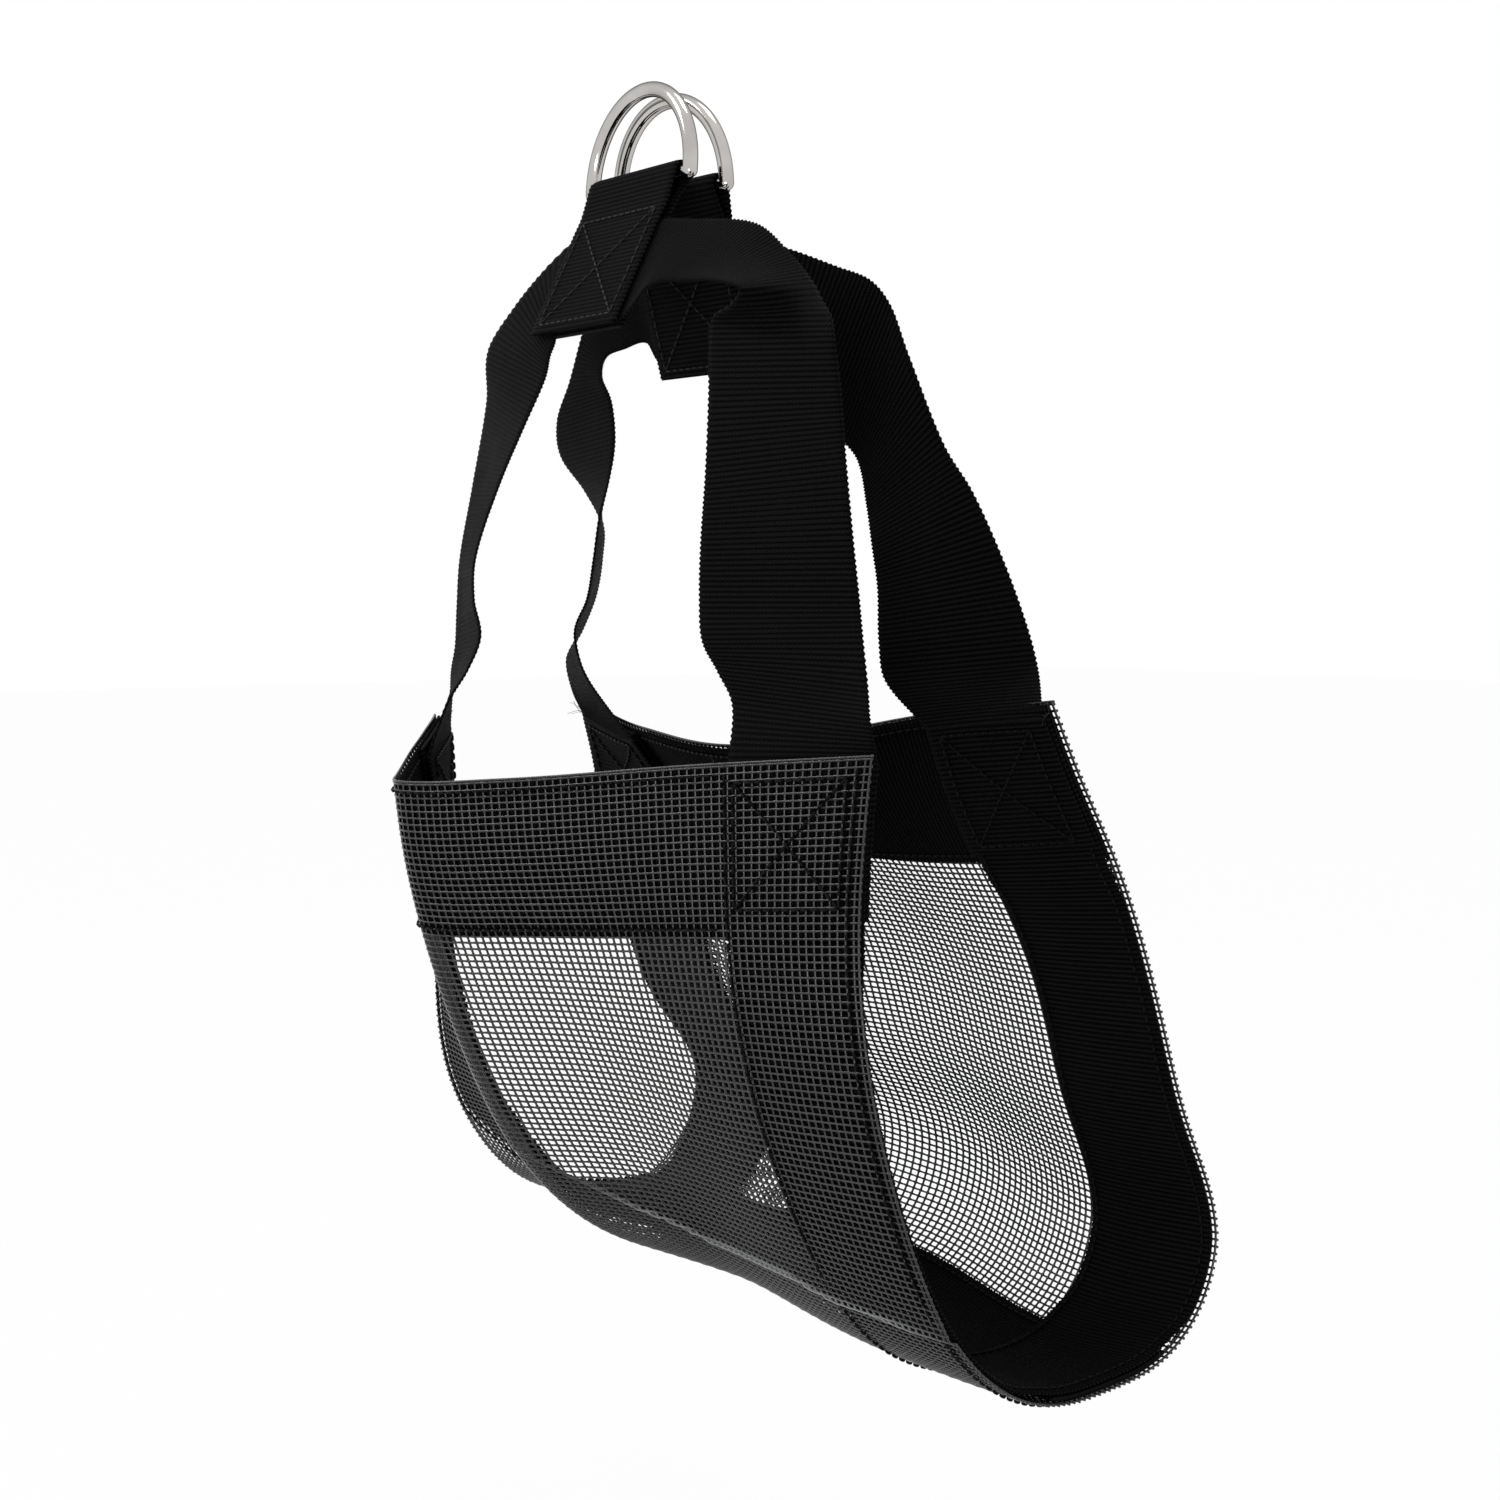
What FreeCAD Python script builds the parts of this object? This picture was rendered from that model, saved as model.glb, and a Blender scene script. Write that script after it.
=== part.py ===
import FreeCAD, Part
import math
import os

from FreeCAD import Vector

# Open mesh sling: one rectangle of coated grid mesh hangs as a trough that is open at both
# ends. Ribbed webbing is sewn to its inner face along the lips, the ends and the bottom.
# Two webbing handles rise from the corners, and each one carries a D-ring on a folded tab.
# Millimetres. The origin is level with the near ring's crown, between the two rings, where
# they hang. +X runs along the trough to its right end, +Y from the near lip to the far
# lip, +Z up.

# ---- driving dimensions ----
PANEL_LENGTH = 260.0     # mesh, end to end
PANEL_GIRTH = 480.0      # mesh, lip to lip round the bottom
MESH_THICK = 1.0
WEB_WIDTH = 50.0
WEB_THICK = 1.3
LAYER_GAP = 0.35         # clearance between sewn layers
END_MARGIN = 3.0         # mesh that shows beyond an end band
LIP_MARGIN = 0.5         # mesh that shows above a lip band
LIP_DROP = 208.0         # origin down to the near lip at the right end
NEAR_LIP_Y = -32.0       # near lip at the right end
FAR_LIP_Y = 31.0         # far lip at the right end
LIP_START_X = 151.0      # near lip at the right end
BOTTOM_START_X = 166.0   # bottom at the right end
FAR_START_X = 155.0      # far lip at the right end
SEWN_LENGTH = 45.0       # handle end that is sewn to the corner
HINGE_RISE = 20.0        # handles fold this far above the lips
NEAR_HINGE_Y = -37.0
FAR_HINGE_Y = 29.0
NEAR_RIGHT_X = 118.0     # middle of each handle leg where it folds
NEAR_LEFT_X = -54.0
FAR_RIGHT_X = 116.0
FAR_LEFT_X = -90.0
LEFT_PINCH = 0.55        # the left legs are bunched to this share where they fold
FOLD_GAP = 1.2           # clearance between a sewn end and its moving leg
RING_WIRE = 5.0
RING_SIDE_GAP = 0.5      # web edge to the ring's leg, each side
RING_LEG = 2.0           # straight part of a ring's leg
NEAR_BAR_Z = -30.0       # bars, down from the near ring's crown
FAR_BAR_Z = -32.5
RING_RUN = 0.15          # radial clearance of a bar in its web loop
NEAR_BAR_Y = -7.0
FAR_BAR_Y = 6.0
RING_LEAN = 4.0          # rings lean towards each other
FAR_TURN = 3.0           # far ring and tab, turned about Z
NEAR_TAB_LENGTH = 56.0
FAR_TAB_LENGTH = 60.0
TAB_CLOSE = 11.0         # the two layers of a tab meet the handle this far below the bar
NEAR_TAB_SLOPE = 27.0    # degrees from straight down
FAR_TAB_SLOPE = 16.0
GRIP_DEPTH = 36.0        # middle of the handle, down from the bar
GRIP_GATHER = 0.72       # the handle is gathered to this share of its width in the tab
STITCH_WIDTH = 0.8
STITCH_THICK = 0.5
STITCH_INSET = 3.0       # stitch line in from a band's edge
STITCH_RUN = 90.0        # longest row of stitches made as one strip
BOX_INSET = 6.0          # box stitch in from the sewn end's edges
OPENINGS_ALONG = 8       # openings across each bare window of the mesh
OPENINGS_ROUND = 8
OPENING_BAR = 4.2        # mesh left between two openings

# ---- shape of the hanging panel ----
# near lip seen from above: degrees from -X towards -Y at shares of the length
LIP_SHARE = [0.0, 0.23, 0.635, 0.69, 1.0]
LIP_TURN = [21.0, 19.0, 18.0, -36.0, -33.0]
# rise of the near lip above its right end
RISE_SHARE = [0.0, 0.23, 0.5, 0.69, 0.81, 0.9, 1.0]
NEAR_RISE = [0.0, -5.0, -12.0, -15.0, -12.0, -6.0, 2.0]
# far lip: distance in front of its right end, and rise above the near lip's right end
FAR_SHARE = [0.0, 0.21, 0.5, 0.79, 1.0]
FAR_SHIFT = [0.0, -2.0, -18.0, -8.0, 5.0]
FAR_RISE = [13.0, 7.0, -6.0, -4.0, 2.0]
# profile across the panel: degrees from straight down towards the far side, at five
# stations along the length, going round from the near lip to the far lip
STATION_SHARE = [0.0, 0.21, 0.5, 0.79, 1.0]
ROUND_SHARE = [0.025, 0.08, 0.145, 0.23, 0.31, 0.4, 0.475, 0.525, 0.595, 0.675, 0.76, 0.85,
               0.92, 0.975]
PROFILE_TURN = [
    [-9, -8, 0, 12, 24, 51, 89, 97, 143, 200, 194, 199, 208, 204],
    [0, 0, 7, 18, 30, 55, 82, 102, 147, 200, 194, 208, 209, 199],
    [4, 16, 22, 26, 36, 60, 86, 108, 154, 207, 197, 214, 220, 220],
    [8, 10, 14, 24, 45, 72, 98, 128, 170, 207, 196, 186, 190, 210],
    [4, 2, 0, 8, 31, 60, 96, 128, 158, 208, 194, 182, 182, 186],
]
STEPS = 240              # steps of the profile integration

os.makedirs("parts", exist_ok=True)


def between(x, xs, ys):
    """Smooth curve through the values ys at xs."""
    if x <= xs[0]:
        return ys[0]
    if x >= xs[-1]:
        return ys[-1]
    i = 0
    while x > xs[i + 1]:
        i += 1
    lo = max(i - 1, 0)
    hi = min(i + 2, len(xs) - 1)
    m0 = (ys[i + 1] - ys[lo]) / (xs[i + 1] - xs[lo])
    m1 = (ys[hi] - ys[i]) / (xs[hi] - xs[i])
    h = xs[i + 1] - xs[i]
    t = (x - xs[i]) / h
    return ((2 * t ** 3 - 3 * t * t + 1) * ys[i] + (t ** 3 - 2 * t * t + t) * h * m0
            + (3 * t * t - 2 * t ** 3) * ys[i + 1] + (t ** 3 - t * t) * h * m1)


def ease(t):
    t = min(1.0, max(0.0, t))
    return t * t * (3 - 2 * t)


def near_lip(share):
    """Point of the near lip at a share of the length."""
    x = LIP_START_X
    y = NEAR_LIP_Y
    n = 130
    step = PANEL_LENGTH * share / n
    for k in range(n):
        mid = share * (k + 0.5) / n
        turn = math.radians(between(mid, LIP_SHARE, LIP_TURN))
        x -= step * math.cos(turn)
        y -= step * math.sin(turn)
    return Vector(x, y, -LIP_DROP + between(share, RISE_SHARE, NEAR_RISE))


PROFILES = {}


def profile(u):
    """Points round the panel, from the near lip to the far lip, at u along the length."""
    if u in PROFILES:
        return PROFILES[u]
    share = u / PANEL_LENGTH
    turns = []
    for k in range(len(ROUND_SHARE)):
        turns.append(between(share, STATION_SHARE, [row[k] for row in PROFILE_TURN]))
    start = near_lip(share)
    step = PANEL_GIRTH / STEPS
    ys = [start.y]
    zs = [start.z]
    for k in range(STEPS):
        turn = math.radians(between((k + 0.5) / STEPS, ROUND_SHARE, turns))
        ys.append(ys[-1] + step * math.sin(turn))
        zs.append(zs[-1] - step * math.cos(turn))
    end_y = FAR_LIP_Y + between(share, FAR_SHARE, FAR_SHIFT)
    end_z = -LIP_DROP + between(share, FAR_SHARE, FAR_RISE)
    bottom_x = BOTTOM_START_X - 0.995 * u
    far_x = FAR_START_X - 0.97 * u
    points = []
    for k in range(STEPS + 1):
        t = k / STEPS
        pull = max(0.0, (t - 0.45) / 0.55)
        x = start.x + (bottom_x - start.x) * ease(t / 0.354)
        x += (far_x - bottom_x) * max(0.0, (t - 0.635) / 0.365)
        y = ys[k] + (end_y - ys[-1]) * pull
        z = zs[k] + (end_z - zs[-1]) * pull
        points.append(Vector(x, y, z))
    PROFILES[u] = points
    return points


def on_panel(u, v):
    """Point of the mesh's inner face; v below 0 or past the girth runs on straight."""
    points = profile(u)
    s = v / PANEL_GIRTH * STEPS
    k = int(min(STEPS - 1, max(0, math.floor(s))))
    return points[k] + (points[k + 1] - points[k]) * (s - k)


def outward(u, v):
    """Unit normal of the panel, away from the inside of the trough."""
    du = 1.0
    u0 = min(max(u - du, 0.0), PANEL_LENGTH - 2 * du)
    along = on_panel(u0 + 2 * du, v) - on_panel(u0, v)
    round_ = on_panel(u, v + 3.0) - on_panel(u, v - 3.0)
    n = along.cross(round_)
    return n.normalize()


def skin_solid(outer, inner):
    """Closed solid between two grids of points."""
    faces = []
    surfaces = []
    for grid in (outer, inner):
        s = Part.BSplineSurface()
        s.interpolate(grid)
        surfaces.append(s)
        faces.append(s.toShape())
    bounds = [s.bounds() for s in surfaces]
    for side in range(4):
        pair = []
        for s, (a, b, c, d) in zip(surfaces, bounds):
            pair.append((s.uIso(a), s.uIso(b), s.vIso(c), s.vIso(d))[side].toShape())
        faces.append(Part.makeRuledSurface(pair[0], pair[1], 1))
    shell = Part.makeShell(faces)
    shell.sewShape()
    solid = Part.makeSolid(Part.Shell(shell.Faces))
    if solid.Volume < 0:
        solid.reverse()
    return solid


def lines(marks, step):
    """Grid lines through the marks, no further apart than the step."""
    values = [marks[0]]
    for a, b in zip(marks, marks[1:]):
        n = int(math.ceil((b - a) / step))
        values += [a + (b - a) * k / n for k in range(1, n + 1)]
    return values


def within(values, a, b):
    """The grid lines between a and b, with a and b themselves."""
    return [a] + [q for q in values if a + 1.2 < q < b - 1.2] + [b]


def patch(us, vs, low, high):
    """Solid on the panel between two offsets, each a function of (u, v)."""
    outer = [[on_panel(u, v) + outward(u, v) * high(u, v) for v in vs] for u in us]
    inner = [[on_panel(u, v) + outward(u, v) * low(u, v) for v in vs] for u in us]
    return skin_solid(outer, inner)


def level(d):
    return lambda u, v: d


def opening(u0, u1, v0, v1):
    """Straight-sided block right through the panel, over one opening."""
    n = outward((u0 + u1) / 2, (v0 + v1) / 2)
    corners = [on_panel(u, v) - n * 4.0 for u, v in ((u0, v0), (u1, v0), (u1, v1), (u0, v1))]
    centre = (corners[0] + corners[1] + corners[2] + corners[3]) * 0.25
    flat = [c - n * (c - centre).dot(n) for c in corners]
    face = Part.Face(Part.makePolygon(flat + [flat[0]]))
    return face.extrude(n * (MESH_THICK + 8.0))


def seam(start, end):
    """One straight row of stitches on the outside of the mesh, as a flat strip."""
    du = end[0] - start[0]
    dv = end[1] - start[1]
    length = math.hypot(du, dv)
    n = max(3, int(length / 3.5))
    side = (-dv / length * STITCH_WIDTH / 2, du / length * STITCH_WIDTH / 2)
    low = MESH_THICK + LAYER_GAP
    grids = []
    for d in (low + STITCH_THICK, low):
        rows = []
        for k in range(n + 1):
            row = []
            for m in (-1.0, -0.33, 0.33, 1.0):
                u = start[0] + du * k / n + side[0] * m
                v = start[1] + dv * k / n + side[1] * m
                row.append(on_panel(u, v) + outward(u, v) * d)
            rows.append(row)
        grids.append(rows)
    return skin_solid(grids[0], grids[1])


def long_seam(start, end):
    """A long row of stitches as several strips, end to end."""
    count = math.ceil(math.hypot(end[0] - start[0], end[1] - start[1]) / STITCH_RUN)
    du = (end[0] - start[0]) / count
    dv = (end[1] - start[1]) / count
    gap = STITCH_WIDTH / 2 / math.hypot(du, dv)
    rows = []
    for k in range(count):
        a = k + gap
        b = k + 1 - gap
        rows.append(seam((start[0] + du * a, start[1] + dv * a),
                         (start[0] + du * b, start[1] + dv * b)))
    return rows


def box_lines(a, b, c, d):
    """Rows of a box stitch with a cross: sides and half diagonals that do not touch."""
    g = STITCH_WIDTH
    mid = ((a + b) / 2, (c + d) / 2)
    lines = [((a + g, c), (b - g, c)), ((a + g, d), (b - g, d))]
    lines += [((a, c + g), (a, d - g)), ((b, c + g), (b, d - g))]
    for p, q in ((a, c), (b, c), (a, d), (b, d)):
        reach = math.hypot(mid[0] - p, mid[1] - q)
        near = 3.0 * g / reach
        far = 1.0 - 1.5 * g / reach
        lines.append(((p + (mid[0] - p) * near, q + (mid[1] - q) * near),
                      (p + (mid[0] - p) * far, q + (mid[1] - q) * far)))
    return lines


def export(shape, name):
    shape.exportStep("parts/" + name + ".step")


# ---- layout on the panel ----
PITCH = WEB_THICK + LAYER_GAP
L = PANEL_LENGTH
G = PANEL_GIRTH
RIGHT_BAND = (END_MARGIN, END_MARGIN + WEB_WIDTH)
LEFT_BAND = (L - END_MARGIN - WEB_WIDTH, L - END_MARGIN)
NEAR_BAND = (LIP_MARGIN, LIP_MARGIN + WEB_WIDTH)
FAR_BAND = (G - LIP_MARGIN - WEB_WIDTH, G - LIP_MARGIN)
BOTTOM_BAND = (G / 2 - WEB_WIDTH / 2, G / 2 + WEB_WIDTH / 2)
RIDGE = [L * s for s in (0.625, 0.66, 0.7)]

# mesh
US = lines([0.0, RIGHT_BAND[0], RIGHT_BAND[1]] + RIDGE + [LEFT_BAND[0], LEFT_BAND[1], L], 8.5)
VS = lines([0.0, 2.0, 5.0, NEAR_BAND[1], BOTTOM_BAND[0], BOTTOM_BAND[1], FAR_BAND[0],
            G - 5.0, G - 2.0, G], 7.0)
panel = patch(US, VS, level(0.0), level(MESH_THICK))
# The bare mesh between the bands is open: a plain grid stands for its fine cells.
cutters = []
for v_low, v_high in ((NEAR_BAND[1], BOTTOM_BAND[0]), (BOTTOM_BAND[1], FAR_BAND[0])):
    wide = (LEFT_BAND[0] - RIGHT_BAND[1]) / OPENINGS_ALONG
    high = (v_high - v_low) / OPENINGS_ROUND
    for i in range(OPENINGS_ALONG):
        for j in range(OPENINGS_ROUND):
            u0 = RIGHT_BAND[1] + wide * i + OPENING_BAR / 2
            v0 = v_low + high * j + OPENING_BAR / 2
            cutters.append(opening(u0, u0 + wide - OPENING_BAR, v0, v0 + high - OPENING_BAR))
export(panel.cut(cutters).Solids[0], "mesh_panel")

# lip and bottom bands lie against the mesh
us_band = within(US, END_MARGIN, L - END_MARGIN)
first = (level(-LAYER_GAP - WEB_THICK), level(-LAYER_GAP))
for name, band in (("near_lip_band", NEAR_BAND), ("far_lip_band", FAR_BAND),
                   ("bottom_band", BOTTOM_BAND)):
    export(patch(us_band, within(VS, band[0], band[1]), first[0], first[1]), name)

RAMP = 16.0              # an end band climbs onto the other bands over this length


def end_lift(u, v):
    """An end band steps over the lip and bottom bands and lies on the mesh between."""
    lift = 0.0
    for a, b in (NEAR_BAND, BOTTOM_BAND, FAR_BAND):
        away = max(a - v, v - b, 0.0)
        lift = max(lift, 1.0 - ease((away - 2.0) / RAMP))
    return lift


# end bands
marks = [LIP_MARGIN]
for a, b in (NEAR_BAND, BOTTOM_BAND, FAR_BAND):
    marks += [q for q in (a - RAMP - 2.0, a - 2.0, b + 2.0, b + RAMP + 2.0) if 30 < q < G - 30]
marks.append(G - LIP_MARGIN)
for name, band in (("right_end_band", RIGHT_BAND), ("left_end_band", LEFT_BAND)):
    export(patch(within(US, band[0], band[1]), lines(marks, 6.0),
                 lambda u, v: -LAYER_GAP - WEB_THICK - PITCH * end_lift(u, v),
                 lambda u, v: -LAYER_GAP - PITCH * end_lift(u, v)), name)

# stitching of the bands, seen on the outside of the mesh
inset = STITCH_INSET
mid_run = (RIGHT_BAND[1] + 1.0, LEFT_BAND[0] - 1.0)
for name, band in (("near_lip_stitching", NEAR_BAND), ("far_lip_stitching", FAR_BAND),
                   ("bottom_stitching", BOTTOM_BAND)):
    rows = []
    for v in (band[0] + inset, band[1] - inset):
        rows += long_seam((mid_run[0], v), (mid_run[1], v))
    export(Part.makeCompound(rows), name)
for name, band in (("right_end_stitching", RIGHT_BAND), ("left_end_stitching", LEFT_BAND)):
    rows = []
    for u in (band[0] + inset, band[1] - inset):
        rows += long_seam((u, inset), (u, G - inset))
    export(Part.makeCompound(rows), name)

# ---- handle ends sewn inside the corners ----
HINGE_Z = -LIP_DROP + HINGE_RISE
SEWN_LOW = -2 * LAYER_GAP - 2 * PITCH - WEB_THICK
SEWN_HIGH = -2 * LAYER_GAP - 2 * PITCH
half = WEB_WIDTH / 2


def sewn_end(band, near, hinge_x, hinge_y, pinch):
    """Handle end: sewn part on the corner, then a free stub up to the fold line."""
    depths = [SEWN_LENGTH * (1 - k / 9) for k in range(9)] + [2.0]
    out = -1.0 if near else 1.0
    grids = []
    for offset, side in ((SEWN_HIGH, out), (SEWN_LOW, -out)):
        grid = []
        for k in range(9):
            share = k / 8
            u = band[0] + WEB_WIDTH * share
            column = []
            for depth in depths:
                v = depth if near else G - depth
                column.append(on_panel(u, v) + outward(u, v) * offset)
            foot = column[-1]
            rise = (foot - column[-2]).normalize()
            top = Vector(hinge_x + pinch * WEB_WIDTH * (0.5 - share), hinge_y + side * WEB_THICK / 2,
                         HINGE_Z - FOLD_GAP)
            reach = (top - foot).Length * 0.5
            for m in range(1, 6):
                t = m / 5
                a = foot * (2 * t ** 3 - 3 * t * t + 1) + rise * (reach * (t ** 3 - 2 * t * t + t))
                b = top * (3 * t * t - 2 * t ** 3) + Vector(0, 0, reach) * (t ** 3 - t * t)
                column.append(a + b)
            grid.append(column)
        grids.append(grid)
    return skin_solid(grids[0], grids[1])


CORNERS = (("near_right", RIGHT_BAND, True, NEAR_RIGHT_X, NEAR_HINGE_Y),
           ("near_left", LEFT_BAND, True, NEAR_LEFT_X, NEAR_HINGE_Y),
           ("far_right", RIGHT_BAND, False, FAR_RIGHT_X, FAR_HINGE_Y),
           ("far_left", LEFT_BAND, False, FAR_LEFT_X, FAR_HINGE_Y))
for name, band, near, x, y in CORNERS:
    pinch = LEFT_PINCH if band is LEFT_BAND else 1.0
    export(sewn_end(band, near, x, y, pinch), name + "_sewn_end")
    v0 = BOX_INSET if near else G - SEWN_LENGTH + BOX_INSET / 2
    v1 = SEWN_LENGTH - BOX_INSET / 2 if near else G - BOX_INSET
    u0 = band[0] + inset + BOX_INSET / 2
    u1 = band[1] - inset - BOX_INSET / 2
    rows = [seam(p, q) for p, q in box_lines(u0, u1, v0, v1)]
    export(Part.makeCompound(rows), name + "_box_stitching")

# ---- rings, tabs and handles ----


def hanging_frame(bar_y, bar_z, slope, turn):
    """Bar centre, its direction, and the direction down the tab."""
    turn = math.radians(turn)
    slope = math.radians(slope)
    along = Vector(math.cos(turn), math.sin(turn), 0)
    level_out = Vector(-math.sin(turn), math.cos(turn), 0)
    if bar_y < 0:
        level_out = level_out * -1
    down = level_out * math.sin(slope) + Vector(0, 0, -math.cos(slope))
    return Vector(0, bar_y, bar_z), along, down


def ring(bar_y, bar_z, turn):
    """D-ring: a bar, two short straight legs and a half circle."""
    bar, along, down = hanging_frame(bar_y, bar_z, RING_LEAN, turn)
    up = down * -1
    r = RING_WIRE / 2
    reach = WEB_WIDTH / 2 + RING_SIDE_GAP + r
    a = bar + along * reach
    b = bar - along * reach
    top_a = a + up * RING_LEG
    top_b = b + up * RING_LEG
    crown = bar + up * (RING_LEG + reach)
    path = Part.Wire([Part.LineSegment(a, top_a).toShape(),
                      Part.Arc(top_a, crown, top_b).toShape(),
                      Part.LineSegment(top_b, b).toShape()])
    start = Part.Wire([Part.Circle(a, up, r).toShape()])
    bow = path.makePipeShell([start], True, True)
    shape = bow.fuse(Part.makeCylinder(r, 2 * reach, b, along))
    for corner in (a, b):
        shape = shape.fuse(Part.makeSphere(r, corner))
    return shape.removeSplitter().Solids[0]


def tab(bar_y, bar_z, slope, turn, length):
    """Webbing folded over a bar, with the handle between its two layers."""
    bar, along, down = hanging_frame(bar_y, bar_z, slope, turn)
    n = down.cross(along)
    inside = RING_WIRE / 2 + RING_RUN
    outside = inside + WEB_THICK
    flat = WEB_THICK / 2 + LAYER_GAP
    start = bar - along * half

    def at(side, drop):
        return start + n * side + down * drop

    def line(p, q):
        return Part.LineSegment(at(*p), at(*q)).toShape()

    def bend(radius):
        return Part.Arc(at(-radius, 0), at(0, -radius), at(radius, 0)).toShape()

    far = flat + WEB_THICK
    edges = [line((-far, length), (-far, TAB_CLOSE)), line((-far, TAB_CLOSE), (-outside, 0)),
             bend(outside), line((outside, 0), (far, TAB_CLOSE)),
             line((far, TAB_CLOSE), (far, length)), line((far, length), (flat, length)),
             line((flat, length), (flat, TAB_CLOSE)), line((flat, TAB_CLOSE), (inside, 0)),
             bend(inside), line((-inside, 0), (-flat, TAB_CLOSE)),
             line((-flat, TAB_CLOSE), (-flat, length)),
             line((-flat, length), (-far, length))]
    face = Part.Face(Part.Wire(Part.__sortEdges__(edges)))
    return face.extrude(along * WEB_WIDTH)


def tab_stitching(bar_y, bar_z, slope, turn, length):
    """Box stitch with a cross on both faces of a tab."""
    bar, along, down = hanging_frame(bar_y, bar_z, slope, turn)
    n = down.cross(along)
    face_at = WEB_THICK * 1.5 + 2 * LAYER_GAP
    rows = []
    lines = box_lines(-half + inset, half - inset, TAB_CLOSE + inset, length - inset)
    for side in (-1, 1):
        for p, q in lines:
            run = along * (q[0] - p[0]) + down * (q[1] - p[1])
            across = run.cross(n).normalize() * (STITCH_WIDTH / 2)
            foot = bar + along * p[0] + down * p[1] + n * (side * face_at)
            ring_points = [foot - across, foot + across, foot + across + run, foot - across + run]
            wire = Part.makePolygon(ring_points + [ring_points[0]])
            rows.append(Part.Face(wire).extrude(n * (side * STITCH_THICK)))
    return Part.makeCompound(rows)


def strap(bar_y, bar_z, slope, turn, hinge_y, right, left):
    """Handle: from the right fold line, through the tab, to the left fold line."""
    bar, along, down = hanging_frame(bar_y, bar_z, slope, turn)
    grip = bar + down * GRIP_DEPTH
    exit_reach = half + 9.0
    stations = []
    for hinge_x, legs, sign, pinch in ((right[0], right[1], 1.0, 1.0),
                                       (left[0], left[1], -1.0, LEFT_PINCH)):
        foot = Vector(hinge_x, hinge_y, HINGE_Z)
        leave = grip + along * (sign * exit_reach)
        side = [(foot, Vector(-sign, 0, 0), pinch),
                (foot + Vector(0, 0, 3.0), Vector(-sign, 0, 0), pinch)]
        for fx, fy, fz, wx, wy, wz, wide in legs:
            step = foot - leave
            p = leave + Vector(step.x * fx, step.y * fy, step.z * fz)
            side.append((p, Vector(wx, wy, wz).normalize(), wide))
        for reach in (exit_reach, half + 2.0, half * 0.5):
            side.append((grip + along * (sign * reach), down, GRIP_GATHER))
        stations.append(side)
    path = stations[0] + [(grip, down, GRIP_GATHER)] + stations[1][::-1]
    ts = [float(k) for k in range(len(path))]
    columns = []
    for pick in range(7):
        values = []
        for p, w, wide in path:
            values.append((p.x, p.y, p.z, w.x, w.y, w.z, wide)[pick])
        columns.append(values)

    def at(t):
        q = [between(t, ts, c) for c in columns]
        return Vector(q[0], q[1], q[2]), Vector(q[3], q[4], q[5]).normalize(), q[6]

    grids = [[], []]
    last = len(path) - 1
    for k in range(2 * last + 1):
        t = k / 2
        p, w, wide = at(t)
        ahead = at(min(t + 0.1, last))[0] - at(max(t - 0.1, 0))[0]
        if k in (0, 2 * last):
            ahead = Vector(0, 0, 1) if k == 0 else Vector(0, 0, -1)
        n = ahead.cross(w).normalize()
        for grid, d in ((grids[0], WEB_THICK / 2), (grids[1], -WEB_THICK / 2)):
            grid.append([p + w * (half * wide * m) + n * d for m in (-1, -0.5, 0, 0.5, 1)])
    return skin_solid(grids[0], grids[1])


# Each leg from its tab to its fold line: shares of the way in X, Y and Z, the direction
# of the strap's inner edge, and the share of its full width.
NEAR_RIGHT_LEG = [(0.80, 0.38, 0.84, -0.90, -0.44, 0.0, 1.0),
                  (0.76, 0.27, 0.69, -0.92, -0.40, 0.0, 1.0),
                  (0.74, 0.20, 0.50, -0.96, -0.28, 0.0, 1.0),
                  (0.73, 0.20, 0.33, -0.98, -0.20, 0.0, 1.0),
                  (0.73, 0.23, 0.22, -0.94, -0.30, -0.05, 0.95),
                  (0.74, 0.25, 0.13, -0.35, -0.90, -0.25, 0.62),
                  (0.61, 0.12, 0.05, 0.05, -0.85, -0.50, 0.6),
                  (0.32, 0.01, -0.01, 0.05, -0.65, -0.75, 0.62)]
NEAR_LEFT_LEG = [(0.75, 1.40, 0.86, 0.85, -0.45, 0.0, 0.8),
                 (0.60, 1.62, 0.70, 0.91, -0.41, 0.0, 1.0),
                 (0.38, 1.36, 0.52, 0.92, -0.36, -0.04, 1.0),
                 (0.12, 1.00, 0.33, 0.93, -0.28, -0.24, 1.0),
                 (0.12, 0.80, 0.22, 0.88, -0.15, -0.42, 0.93),
                 (0.10, 0.52, 0.13, 0.66, -0.28, -0.70, 0.78)]
FAR_RIGHT_LEG = [(0.93, 0.93, 0.77, -0.95, -0.3, 0.0, 1.0),
                 (0.75, 0.78, 0.54, -0.93, -0.15, -0.25, 1.0),
                 (0.52, 0.56, 0.34, -0.8, -0.05, -0.55, 1.0),
                 (0.36, 0.33, 0.17, -0.55, 0.1, -0.8, 0.92),
                 (0.18, 0.11, 0.06, -0.25, 0.2, -0.93, 0.8)]
FAR_LEFT_LEG = [(1.0, 0.9, 0.80, 0.85, -0.45, 0.0, 0.8),
                (0.92, 0.78, 0.62, 0.75, -0.6, 0.0, 1.0),
                (0.88, 0.56, 0.42, 0.9, -0.35, -0.2, 1.0),
                (0.72, 0.33, 0.22, 0.75, 0.0, -0.65, 0.92),
                (0.40, 0.11, 0.08, 0.3, 0.2, -0.93, 0.8)]

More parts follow.
